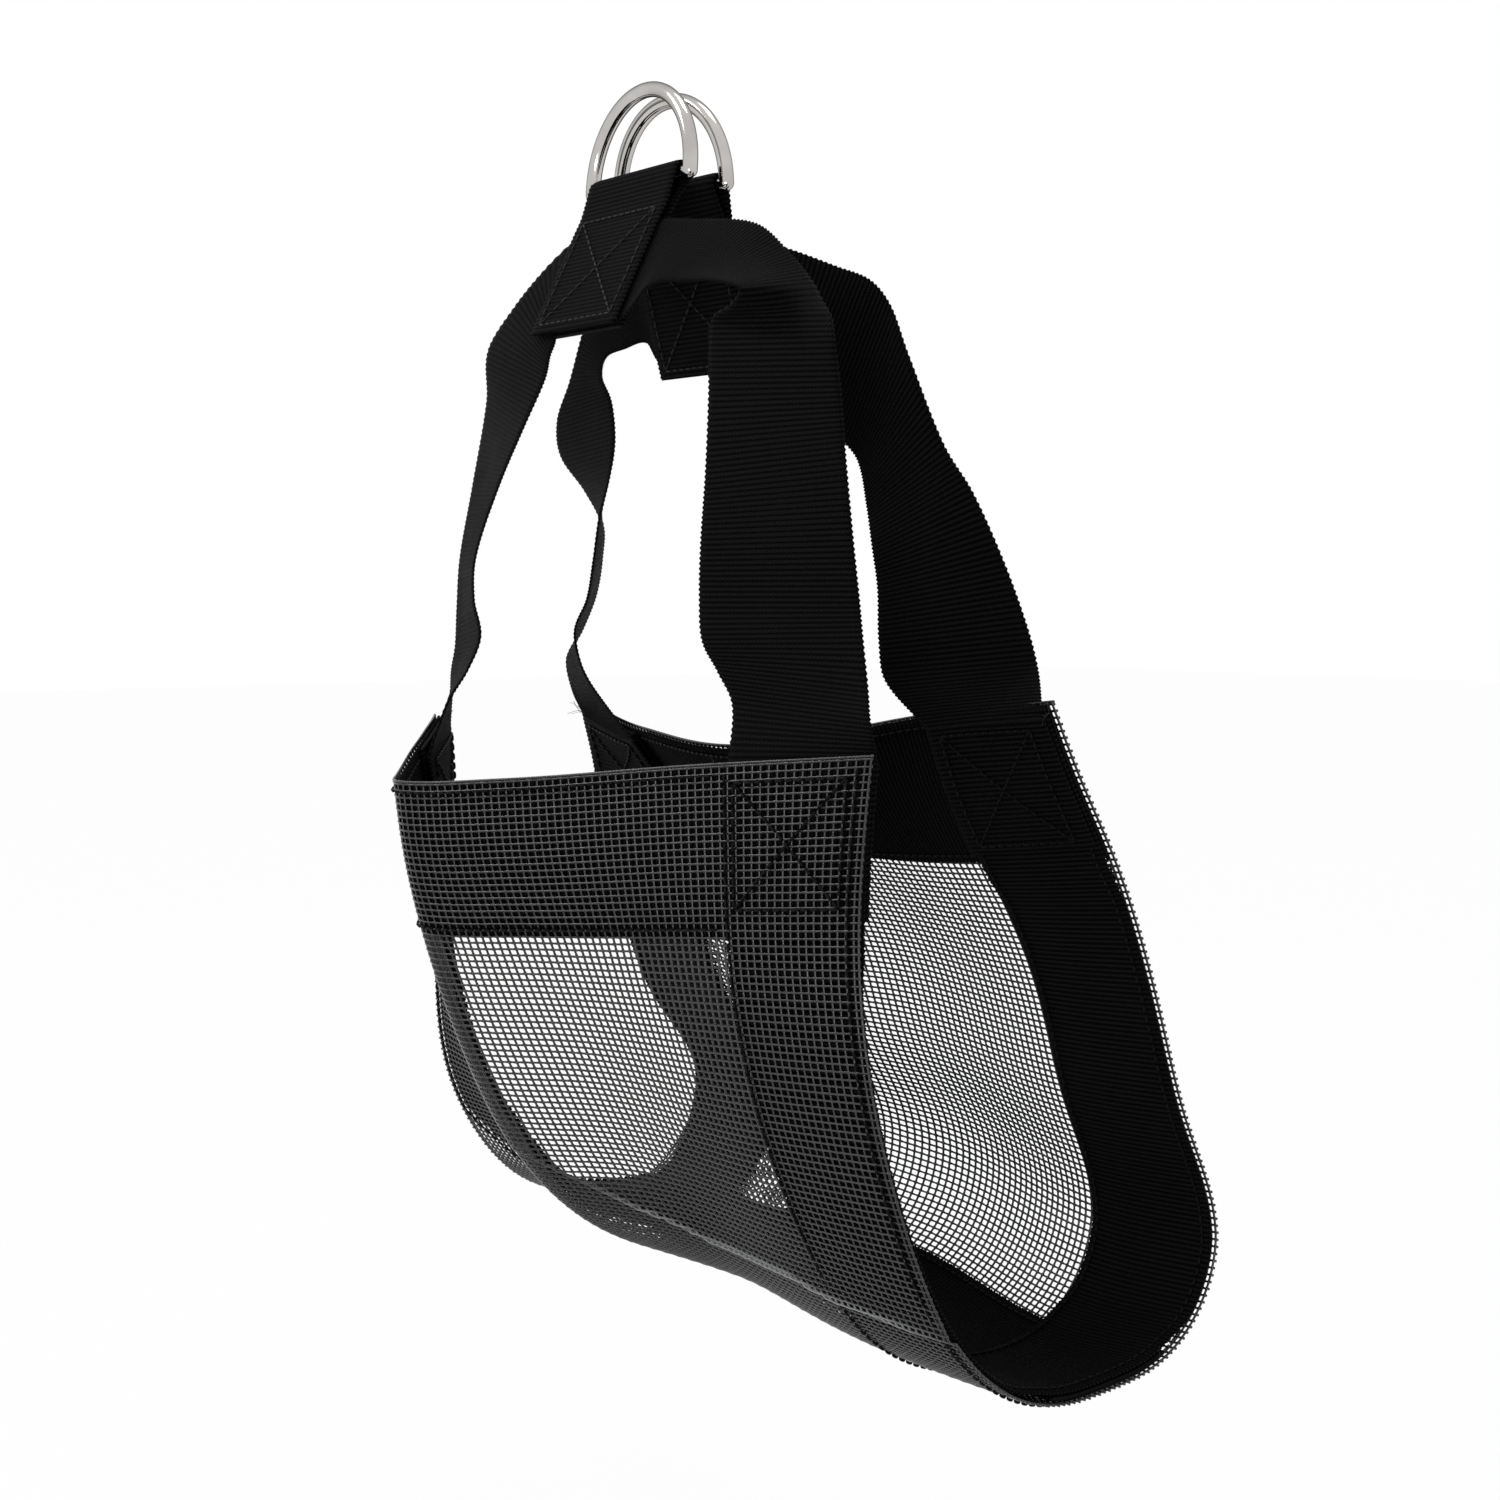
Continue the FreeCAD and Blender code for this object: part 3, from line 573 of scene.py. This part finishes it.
def nickel():
    """Polished metal, a little clouded."""
    m = Nodes("polished_nickel")
    cloud = m.noise(*NICKEL_PATCHES)
    fine = m.noise(*NICKEL_GRAIN)
    m.paint(m.ramp(cloud, "Fac", NICKEL), m.ramp(cloud, "Fac", NICKEL_ROUGH))
    m.constant(Metallic=1.0, Specular_Tint=(0.2, 0.19, 0.18, 1))
    m.bump(fine, "Fac", NICKEL_RELIEF * MM, NICKEL_STRENGTH)
    return m.mat


YARN = coated_yarn()
WEB = webbing("webbing", (0.0004, 0.0004, 0.0004), (0.0068, 0.0068, 0.0072))
THREAD = thread_material("thread", (0.001, 0.001, 0.0011), (0.004, 0.004, 0.0044), 0.08)
WORN_THREAD = thread_material("worn_thread", (0.005, 0.005, 0.0055), (0.017, 0.017, 0.018), 0.2)
METAL = nickel()

# ---- mesh: coated yarns, thicker where they cross, with cut ends that stand out ----
L = PANEL_LENGTH
G = PANEL_GIRTH
MID = MESH_THICK / 2
LAYER = 0.1                  # the weft lies this far outside the middle, the warp inside it
WEAVE = 0.07                 # how far the weft sways at the crossings
EDGE_YARN = 0.3              # place of the close yarn along each lip
END_YARN = 2.5               # place of the last yarn that each end's webbing holds
CUT_BACK = 1.7               # the yarns are cut close to the last one that they cross
# Half sizes of the yarns, wide and high: between the crossings, and at them.
WEFT_SIZE = ((0.31, 0.3), (0.45, 0.36))
WARP_SIZE = ((0.36, 0.32), (0.5, 0.36))
EDGE_SIZE = (0.42, 0.4)      # the close yarn's, all along
MESH_PIECES = (("mesh_near", 0, 75), ("mesh_bottom", 75, 150), ("mesh_far", 150, CELLS_ROUND))


def yarns(u, v, offset, sizes, crossing):
    """Yarns along a grid of places, thicker where they cross others."""
    wide, high = (np.where(crossing, at, apart)[None, :] for apart, at in zip(*sizes))
    return tubes(on_panel(u, v, offset + crease(u, v)), panel_out(u, v), wide, high)


for name, first, last in MESH_PIECES:
    rows = np.arange(first, last)
    halves = np.arange(2 * CELLS_ALONG + 1)          # half cells; every odd one is a crossing
    us = np.clip(halves * CELL_ALONG / 2, CUT_BACK, L - CUT_BACK)
    way = np.where((halves[None, :] // 2 + rows[:, None]) % 2 == 0, 1, -1)
    sway = np.where(halves % 2 == 1, way * WEAVE, 0)
    grid_u, grid_v = np.meshgrid(us, (rows + 0.5) * CELL_ROUND)
    weft = yarns(grid_u, grid_v, MID + LAYER + sway, WEFT_SIZE, halves % 2 == 1)
    halves = np.arange(2 * first, 2 * last + 1)
    warp_at = np.clip((np.arange(CELLS_ALONG) + 0.5) * CELL_ALONG, END_YARN, L - END_YARN)
    grid_v, grid_u = np.meshgrid(halves * CELL_ROUND / 2, warp_at)
    warp = yarns(grid_u, grid_v, MID - LAYER, WARP_SIZE, halves % 2 == 1)
    edges = [tubes(on_panel(us[None, :], v, MID + LAYER), panel_out(us[None, :], v), *EDGE_SIZE)
             for row, v in ((first, EDGE_YARN), (last, G - EDGE_YARN)) if row in (0, CELLS_ROUND)]
    verts, quads = join([weft, warp] + edges)
    cloth = piece(name, verts, quads, YARN, "sling")
    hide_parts("mesh_panel")

# ---- webbing sewn inside the mesh ----
PITCH = WEB_THICK + LAYER_GAP          # from one layer of webbing to the next
FIRST = -LAYER_GAP - WEB_THICK / 2     # middle of the webbing that lies on the mesh
NEAR_BAND = (LIP_MARGIN, LIP_MARGIN + WEB_WIDTH)
FAR_BAND = (G - LIP_MARGIN - WEB_WIDTH, G - LIP_MARGIN)
BOTTOM_BAND = (G / 2 - WEB_WIDTH / 2, G / 2 + WEB_WIDTH / 2)
RIGHT_BAND = (END_MARGIN, END_MARGIN + WEB_WIDTH)
LEFT_BAND = (L - END_MARGIN - WEB_WIDTH, L - END_MARGIN)
RAMP = 16.0                  # an end band comes down from another band over this length,
RAMP_START = 2.0             # and starts to this far beyond it
# The sling's sag draws the bottom band towards the near wall at its left end (u, shift of v),
# and the left end band inward round the trough's bottom (v, shift of u).
BOTTOM_DRAWN = ([160.0, 172.0, 186.0, 194.0, 210.0, 257.0],
                [0.0, -6.0, -15.0, -20.0, -24.0, -28.0])
LEFT_DRAWN = ([146.0, 171.0, 215.0, 245.0, 262.0, 290.0], [0.0, -24.0, -25.0, -10.0, -3.0, 0.0])
LEFT_CROSSING = -26.0        # shift of the bottom band where the left end band crosses it
UNDER_LEFT = 26.0            # the bottom band ends this far short, under the left end band


def left_shift(v):
    """How far the left end band is drawn along u."""
    return np.interp(v, *LEFT_DRAWN)


def drawn(name, u, v):
    """Places on a band, moved as the sag draws them."""
    if name.startswith("bottom"):
        return u, v + np.interp(u, *BOTTOM_DRAWN)
    if name.startswith("left_end"):
        return u + left_shift(v), v
    return u, v


def climbing(level, shift):
    """Offset of an end band, which climbs over the lip bands and the shifted bottom band."""
    def offset(v):
        lift = np.zeros_like(v)
        for a, b in (NEAR_BAND, (BOTTOM_BAND[0] + shift, BOTTOM_BAND[1] + shift), FAR_BAND):
            away = np.maximum(np.maximum(a - v, v - b), 0.0)
            lift = np.maximum(lift, 1.0 - ease((away - RAMP_START) / RAMP))
        return level - PITCH * lift
    return offset


def offset_at(offset, v):
    """An offset is a number, or depends on v."""
    return offset(v) if callable(offset) else np.full_like(v, offset)


def rows_for(length):
    """Even places for a ribbon's rows."""
    return np.linspace(0, length, int(round(length / ROW_STEP)) + 1)


def panel_band(node, us, vs, offset, along_u):
    """One band of webbing on the panel, in place of its node."""
    if along_u:
        u, v = np.meshgrid(us, vs, indexing="ij")
        run = np.abs(us - us[0])
    else:
        v, u = np.meshgrid(vs, us, indexing="ij")
        run = np.abs(vs - vs[0])
    off = offset_at(offset, v)
    u, v = drawn(node, u, v)
    verts, quads, uv = ribbon(on_panel(u, v, off), panel_out(u, v), run)
    ob = piece(node + "_web", verts, quads, WEB, "sling", uv)
    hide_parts(node)


for node, band, short in (("near_lip_band", NEAR_BAND, 0.0), ("far_lip_band", FAR_BAND, 0.0),
                          ("bottom_band", BOTTOM_BAND, UNDER_LEFT)):
    panel_band(node, END_MARGIN + rows_for(L - 2 * END_MARGIN - short),
               np.linspace(*band, ACROSS), FIRST, True)
END_BANDS = (("right_end", RIGHT_BAND, 0.0), ("left_end", LEFT_BAND, LEFT_CROSSING))
for name, band, shift in END_BANDS:
    panel_band(name + "_band", np.linspace(*band, ACROSS),
               LIP_MARGIN + rows_for(G - 2 * LIP_MARGIN), climbing(FIRST, shift), False)

# ---- stitches ----
THREAD_CLEAR = 0.1
OUTSIDE = MESH_THICK + THREAD_CLEAR    # rows on the mesh
INNER = -LAYER_GAP - WEB_THICK         # and on the webbing's inner face
SEAM = (0.5, 0.45)           # gap between two stitches, and their radius: on the panel,
TAB_SEAM = (0.7, 0.3)        # and on the tabs
TAB_INSET = STITCH_INSET + 1.0         # from the tab's edges to its rows
SEAM_CLEAR = 1.0             # the long rows stop this far from the end bands
BOTTOM_AT_LEFT = 23.0        # shift of the bottom band where its rows meet the left end band
DENSE_STEP = 1.5


def dense(p, q):
    """Places along a straight line between two."""
    n = max(2, int(math.hypot(q[0] - p[0], q[1] - p[1]) / DENSE_STEP))
    t = np.linspace(0, 1, n + 1)
    return p[0] + (q[0] - p[0]) * t, p[1] + (q[1] - p[1]) * t


def seam(p, q, offset, side, name=""):
    """A row of stitches on the panel from p to q, drawn as the band of that name is."""
    u, v = dense(p, q)
    off = offset_at(offset, v)
    u, v = drawn(name, u, v)
    return stitches(on_panel(u, v, off), panel_out(u, v) * side, *SEAM)


def box_lines(a, b, c, d):
    """A box between a and b, c and d, with both its diagonals."""
    return [((a, c), (b, c)), ((a, d), (b, d)), ((a, c), (a, d)), ((b, c), (b, d)),
            ((a, c), (b, d)), ((a, d), (b, c))]


def stitched(name, rows, body, node=None, thread=THREAD):
    """One piece of all the rows; it takes the node's place where a node is given."""
    verts, quads = join(rows)
    ob = piece(name, verts, quads, thread, body)
    if node:
        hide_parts(node)


def both_faces(name, node, inner, rows_at):
    """Rows on the outside of the mesh, in place of the node, and on the inner face."""
    stitched(name + "_outer", rows_at(OUTSIDE, 1), "sling", node)
    stitched(name + "_inner", rows_at(inner, -1), "sling")


for name, band in (("near_lip", NEAR_BAND), ("far_lip", FAR_BAND), ("bottom", BOTTOM_BAND)):
    both_faces(name + "_thread", name + "_stitching", INNER, lambda off, side: [
        seam((RIGHT_BAND[1] + SEAM_CLEAR, v),
             (LEFT_BAND[0] - SEAM_CLEAR + left_shift(v - BOTTOM_AT_LEFT), v), off, side, name)
        for v in (band[0] + STITCH_INSET, band[1] - STITCH_INSET)])
for name, band, shift in END_BANDS:
    level = climbing(INNER, shift)
    both_faces(name + "_thread", name + "_stitching", level, lambda off, side: [
        seam((u, STITCH_INSET), (u, G - STITCH_INSET), off, side, name)
        for u in (band[0] + STITCH_INSET, band[1] - STITCH_INSET)])

SEWN = -2 * LAYER_GAP - 2 * PITCH - WEB_THICK / 2   # the handles' ends lie on two bands
CORNERS = (("near_right", RIGHT_BAND, True), ("near_left", LEFT_BAND, True),
           ("far_right", RIGHT_BAND, False), ("far_left", LEFT_BAND, False))
for name, band, near in CORNERS:
    v0 = BOX_INSET if near else G - SEWN_LENGTH + BOX_INSET / 2
    v1 = SEWN_LENGTH - BOX_INSET / 2 if near else G - BOX_INSET
    u0 = band[0] + STITCH_INSET + BOX_INSET / 2
    u1 = band[1] - STITCH_INSET - BOX_INSET / 2
    level = SEWN - WEB_THICK / 2
    both_faces(name + "_box", name + "_box_stitching", level, lambda off, side: [
        seam(p, q, off, side) for p, q in box_lines(u0, u1, v0, v1)])

# ---- handles: one length of webbing each, from corner to corner through its tab ----
GRIP_AT = (26, 14, 0, -14, -26)   # stations of the gathered handle inside its tab
SEWN_TOP = 3.0                    # where the sewn part ends, below the lip
SEWN_ROWS = 15
LEAST_SPAN = 0.5                  # added to each span, so that none has no length
FINE_STEPS = 3000
# Each leg from its tab to its lip: inner edge and outer edge of the webbing.
NEAR_RIGHT_LEG = [
    ((39, -31, -70), (40, -15, -48)), ((63, -34, -71), (70, -13, -53)),
    ((85, -38, -74), (86, -12, -64)), ((98, -40, -78), (98, -13, -74)),
    ((90, -37, -81), (106, -16, -80)), ((74, -32, -83), (115, -20, -86)),
    ((71, -31, -91), (120, -23, -94)), ((71, -31, -104), (120, -21, -106)),
    ((72, -33, -128), (120, -19, -125)), ((75, -37, -149), (121, -17, -148)),
    ((77, -39, -166), (124, -17, -166)), ((81, -41, -178), (128, -19, -177)),
    ((86, -39, -187), (135, -23, -191)), ((92, -38, -197), (142, -28, -200))]
NEAR_LEFT_LEG = [
    ((-15, -31, -80), (-38, -19, -54)), ((-13, -34, -87), (-48, -26, -67)),
    ((-10, -38, -95), (-57, -31, -81)), ((-13, -44, -110), (-60, -30, -98)),
    ((-18, -51, -130), (-65, -33, -127)), ((-24, -56, -152), (-69, -36, -152)),
    ((-22, -58, -166), (-68, -38, -170)), ((-18, -58, -178), (-64, -41, -182)),
    ((-23, -60, -189), (-67, -41, -191)), ((-36, -60, -200), (-69, -40, -199))]
FAR_RIGHT_LEG = [
    ((34, 21, -90), (46, 14, -54)), ((45, 22, -97), (70, 19, -63)),
    ((54, 25, -106), (81, 23, -68)), ((60, 28, -114), (87, 26, -76)),
    ((66, 31, -122), (94, 27, -91)), ((73, 29, -137), (106, 31, -119)),
    ((79, 26, -149), (117, 33, -134)), ((83, 25, -163), (126, 37, -154)),
    ((86, 23, -179), (132, 41, -173)), ((89, 23, -191), (135, 43, -186))]
FAR_LEFT_LEG = [
    ((-34, 19, -77), (-38, 13, -46)), ((-46, 18, -78), (-56, 15, -55)),
    ((-58, 18, -80), (-72, 18, -68)), ((-61, 18, -87), (-90, 23, -86)),
    ((-58, 20, -96), (-105, 27, -99)), ((-56, 20, -110), (-109, 31, -112)),
    ((-57, 18, -124), (-102, 37, -125)), ((-60, 16, -137), (-96, 41, -138)),
    ((-64, 16, -152), (-96, 41, -149)), ((-73, 19, -166), (-105, 44, -164)),
    ((-83, 20, -178), (-115, 44, -178)), ((-82, 22, -190), (-123, 42, -189)),
    ((-78, 25, -199), (-120, 42, -200))]


def hanging_frame(bar_y, bar_z, slope, turn):
    """Ring bar's centre, its direction, and the direction down the tab."""
    turn = math.radians(turn)
    slope = math.radians(slope)
    along = np.array([math.cos(turn), math.sin(turn), 0])
    level_out = np.array([-math.sin(turn), math.cos(turn), 0]) * (-1 if bar_y < 0 else 1)
    down = level_out * math.sin(slope) + np.array([0, 0, -math.cos(slope)])
    return np.array([0, bar_y, bar_z]), along, down


def smooth_path(points, step):
    """Rows through the given rows of points [k, m, 3], evenly spaced along their middle."""
    points = np.asarray(points, float)
    middle = points.mean(axis=1)
    t = np.concatenate([[0], np.cumsum(np.linalg.norm(np.diff(middle, axis=0), axis=1)
                                       + LEAST_SPAN)])
    slope = np.empty_like(points)
    slope[1:-1] = (points[2:] - points[:-2]) / (t[2:] - t[:-2])[:, None, None]
    slope[0] = (points[1] - points[0]) / (t[1] - t[0])
    slope[-1] = (points[-1] - points[-2]) / (t[-1] - t[-2])

    def at(q):
        i = np.clip(np.searchsorted(t, q, side="right") - 1, 0, len(t) - 2)
        h = (t[i + 1] - t[i])[:, None, None]
        s = (q - t[i])[:, None, None] / h
        return ((2 * s ** 3 - 3 * s * s + 1) * points[i] + (s ** 3 - 2 * s * s + s) * h * slope[i]
                + (3 * s * s - 2 * s ** 3) * points[i + 1] + (s ** 3 - s * s) * h * slope[i + 1])

    fine = np.linspace(0, t[-1], FINE_STEPS)
    run = running(at(fine).mean(axis=1))
    where = np.linspace(0, run[-1], int(round(run[-1] / step)) + 1)
    return at(np.interp(where, run, fine)), where


def sewn_rows(band, near, right):
    """Rows on the corner from the webbing's end up to the lip, inner edge first."""
    inner, outer = (band[1], band[0]) if right else (band[0], band[1])
    u = np.linspace(inner, outer, ACROSS)[None, :]
    depth = np.linspace(SEWN_LENGTH, SEWN_TOP, SEWN_ROWS)[:, None]
    return on_panel(u, depth if near else G - depth, SEWN)


def strap(name, points, body, *replaced):
    """Webbing through rows of points, in place of the named nodes."""
    rows, where = smooth_path(points, ROW_STEP)
    out = unit(np.cross(np.gradient(rows, axis=0), np.gradient(rows, axis=1)))
    verts, quads, uv = ribbon(rows, out, where)
    ob = piece(name, verts, quads, WEB, body, uv)
    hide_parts(*replaced)
    return ob


def handle(name, spot, right_leg, left_leg):
    """One length of webbing from corner to corner, which bends at its fold line."""
    near = name == "near"
    bar, along, down = hanging_frame(*spot)
    grip = bar + down * GRIP_DEPTH
    half_grip = WEB_WIDTH / 2 * GRIP_GATHER
    in_tab = [(grip + along * x + down * half_grip, grip + along * x - down * half_grip)
              for x in GRIP_AT]
    pairs = np.asarray(right_leg[::-1] + in_tab + left_leg, float)
    w = np.linspace(0, 1, ACROSS)[None, :, None]
    free = pairs[:, :1] * (1 - w) + pairs[:, 1:] * w
    points = np.concatenate([sewn_rows(RIGHT_BAND, near, True), free,
                             sewn_rows(LEFT_BAND, near, False)[::-1]])
    ob = strap(name + "_handle_web", points, None, name + "_handle_strap",
               name + "_right_sewn_end", name + "_left_sewn_end")
    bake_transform(ob)


# Ring bar of each handle: y, z, slope of the tab and turn of the bar in degrees.
NEAR = (-7.0, -30.0, 27.0, 0.0)
FAR = (6.0, -32.5, 16.0, 3.0)
handle("near", NEAR, NEAR_RIGHT_LEG, NEAR_LEFT_LEG)
handle("far", FAR, FAR_RIGHT_LEG, FAR_LEFT_LEG)

# ---- tabs: webbing folded over the ring's bar and sewn through the handle ----
LAYER_AT = WEB_THICK + LAYER_GAP                  # each layer's middle, from the tab's middle
BEND = RING_WIRE / 2 + RING_RUN + WEB_THICK / 2   # radius of the fold round the bar
TAB_LENGTH = {"near": 56.0, "far": 60.0}
TAB_ROWS = 8
BEND_ROWS = 13
for name, spot in (("near", NEAR), ("far", FAR)):
    bar, along, down = hanging_frame(*spot)
    n = np.cross(down, along)
    length = TAB_LENGTH[name]
    drops = np.linspace(length, TAB_CLOSE, TAB_ROWS)
    angles = np.linspace(0, math.pi, BEND_ROWS)
    line = ([(-LAYER_AT, drop) for drop in drops]
            + [(-BEND * math.cos(a), -BEND * math.sin(a)) for a in angles]
            + [(LAYER_AT, drop) for drop in drops[::-1]])
    x = np.linspace(-WEB_WIDTH / 2, WEB_WIDTH / 2, ACROSS)
    points = [[bar + n * side + down * drop + along * k for k in x] for side, drop in line]
    body = name + "_handle"
    strap(name + "_tab_web", points, body, name + "_tab")
    edge = WEB_WIDTH / 2 - TAB_INSET
    rows = []
    for side in (-1, 1):
        face = n * (side * (LAYER_AT + WEB_THICK / 2))
        for p, q in box_lines(-edge, edge, TAB_CLOSE + STITCH_INSET, length - STITCH_INSET):
            a, b = dense(p, q)
            path = bar + along * a[:, None] + down * b[:, None] + face
            rows.append(stitches(path, np.broadcast_to(n * side, path.shape), *TAB_SEAM))
    stitched(name + "_tab_thread", rows, body, name + "_tab_stitching", WORN_THREAD)

for name in ("near_ring", "far_ring"):
    ob = nodes[name]
    ob.data.materials.clear()
    ob.data.materials.append(METAL)

# ---- loose fibres at the cut and sewn ends ----
FIBRE_RADIUS = 0.07
FIBRE_POINTS = 9
FIBRE_ROUND = 0.4            # spread round the trough, as a share of the spread along it
FIBRE_OUT = 0.5              # what aims a fibre: outward, astray and upward
FIBRE_STRAY = 0.6
FIBRE_UP = np.array([0, 0, 0.35])
FIBRE_REACH = (0.5, 1.0)     # least and most length and curl
FIBRE_CURL = (0.2, 0.6)
# Each tuft: u, v, offset from the panel, number of fibres, spread and length.
TUFTS = ((LEFT_BAND[1], G - 1.0, -4.5, 7, 3.0, 6.0), (LEFT_BAND[0], G - 1.0, -4.5, 4, 3.0, 5.0),
         (LEFT_BAND[1], 1.0, -4.5, 5, 3.0, 4.5), (RIGHT_BAND[0], G - 2.0, -4.5, 4, 3.0, 4.0),
         (RIGHT_BAND[1], 1.0, 1.2, 4, 2.0, 3.0), (0.5, G / 2 + 22, -1.5, 6, 3.0, 3.5))


def fibre(u, v, offset, spread, length):
    """A fine curled fibre that starts near a place on the panel and stands off it."""
    place = np.array([u + rng.normal(0, spread), v + rng.normal(0, spread * FIBRE_ROUND)])
    root = on_panel(place[0], place[1], offset)
    away = panel_out(place[0], place[1]) * np.sign(offset)
    aim = unit(away * FIBRE_OUT + rng.normal(0, FIBRE_STRAY, 3) + FIBRE_UP)
    bend = unit(np.cross(aim, rng.normal(0, 1, 3)))
    t = np.linspace(0, 1, FIBRE_POINTS)[:, None]
    reach = length * rng.uniform(*FIBRE_REACH)
    path = root + aim * (t * reach) + bend * (t * t * reach * rng.uniform(*FIBRE_CURL))
    return tubes(path[None], np.broadcast_to(bend, (1, FIBRE_POINTS, 3)), FIBRE_RADIUS,
                 FIBRE_RADIUS, FIBRE_SIDES)


loose = [fibre(u, v, offset, spread, length)
         for u, v, offset, count, spread, length in TUFTS for k in range(count)]
verts, quads = join(loose)
ob = piece("loose_fibres", verts, quads, WORN_THREAD, "sling")

# ---- camera, floor and light ----
SENSOR = 36.0
PICTURE = 1500               # pixels
FOCAL_PIXELS = 2203.43
FLOOR_SIZE = 14.0
FLOOR_DROP = 0.09            # below the part's lowest point
FLOOR_GLOW = 0.975           # how much of the floor the camera sees as plain white
WORLD_LIGHT = 0.35           # what the world gives the part; rays that see it find plain white
# Each lamp: name, place, aim, size and power.
LAMPS = (("key", (-0.7, -1.1, 0.95), (0.02, 0, -0.2), 0.5, 9.0),
         ("fill", (0.95, -1.15, -0.44), (0.02, 0, -0.34), 0.6, 11.0),
         ("top", (0.1, 0.2, 1.4), (0.02, 0, -0.25), 0.6, 9.0))

scene = bpy.context.scene
camera_data = bpy.data.cameras.new("camera")
camera_data.sensor_width = SENSOR
camera_data.lens = FOCAL_PIXELS / PICTURE * SENSOR
camera_data.clip_start = 0.01
camera = bpy.data.objects.new("camera", camera_data)
scene.collection.objects.link(camera)
camera.matrix_world = Matrix(((0.60512414, -0.0555353, 0.79419179, 0.60495),
                              (0.79613113, 0.04221133, -0.60365009, -0.42159),
                              (0.0, 0.99756405, 0.06975647, -0.16491),
                              (0, 0, 0, 1)))
scene.camera = camera
scene.view_settings.view_transform = "Standard"


def rays_that_see(tree):
    """1 for camera, glossy and transmission rays."""
    rays = tree.nodes.new("ShaderNodeLightPath")
    value = rays.outputs["Is Camera Ray"]
    for other in ("Is Glossy Ray", "Is Transmission Ray"):
        most = tree.nodes.new("ShaderNodeMath")
        most.operation = "MAXIMUM"
        tree.links.new(value, most.inputs[0])
        tree.links.new(rays.outputs[other], most.inputs[1])
        value = most.outputs[0]
    return value


def floor_material():
    """A plain pale floor that looks white to the camera and keeps the sling's shadow."""
    m = Nodes("pale_floor")
    tone = m.ramp(m.noise(*FLOOR_PATCHES), "Fac", PALE)
    m.link(tone, "Color", m.shader, "Base Color")
    m.constant(Roughness=0.9)
    glow = m.add("ShaderNodeEmission", Strength=1.0)
    share = m.math("MULTIPLY", 1.0, FLOOR_GLOW)
    m.tree.links.new(rays_that_see(m.tree), share.inputs[0])
    both = m.add("ShaderNodeMixShader")
    m.link(share, 0, both, 0)
    m.link(m.shader, 0, both, 1)
    m.link(glow, 0, both, 2)
    m.link(both, 0, m.out, "Surface")
    return m.mat


bpy.ops.mesh.primitive_plane_add(size=FLOOR_SIZE, location=(0, 0, cad_box[0][2] - FLOOR_DROP))
floor = bpy.context.object
floor.name = "floor"
floor.data.materials.append(floor_material())

world = bpy.data.worlds.new("studio")
scene.world = world
world.use_nodes = True
tree = world.node_tree
tree.nodes.clear()
mix = tree.nodes.new("ShaderNodeMixShader")
tree.links.new(rays_that_see(tree), mix.inputs["Fac"])
for socket, strength in ((1, WORLD_LIGHT), (2, 1.0)):
    white = tree.nodes.new("ShaderNodeBackground")
    white.inputs["Color"].default_value = (1, 1, 1, 1)
    white.inputs["Strength"].default_value = strength
    tree.links.new(white.outputs[0], mix.inputs[socket])
final = tree.nodes.new("ShaderNodeOutputWorld")
tree.links.new(mix.outputs[0], final.inputs["Surface"])

for name, at, aim, size, power in LAMPS:
    data = bpy.data.lights.new(name, "AREA")
    data.size = size
    data.energy = power
    ob = bpy.data.objects.new(name, data)
    scene.collection.objects.link(ob)
    at = np.array(at, float)
    z = unit(at - np.array(aim, float))
    x = unit(np.cross([0, 0, 1.0], z))
    y = np.cross(z, x)
    ob.matrix_world = Matrix([[x[i], y[i], z[i], at[i]] for i in range(3)] + [[0, 0, 0, 1]])
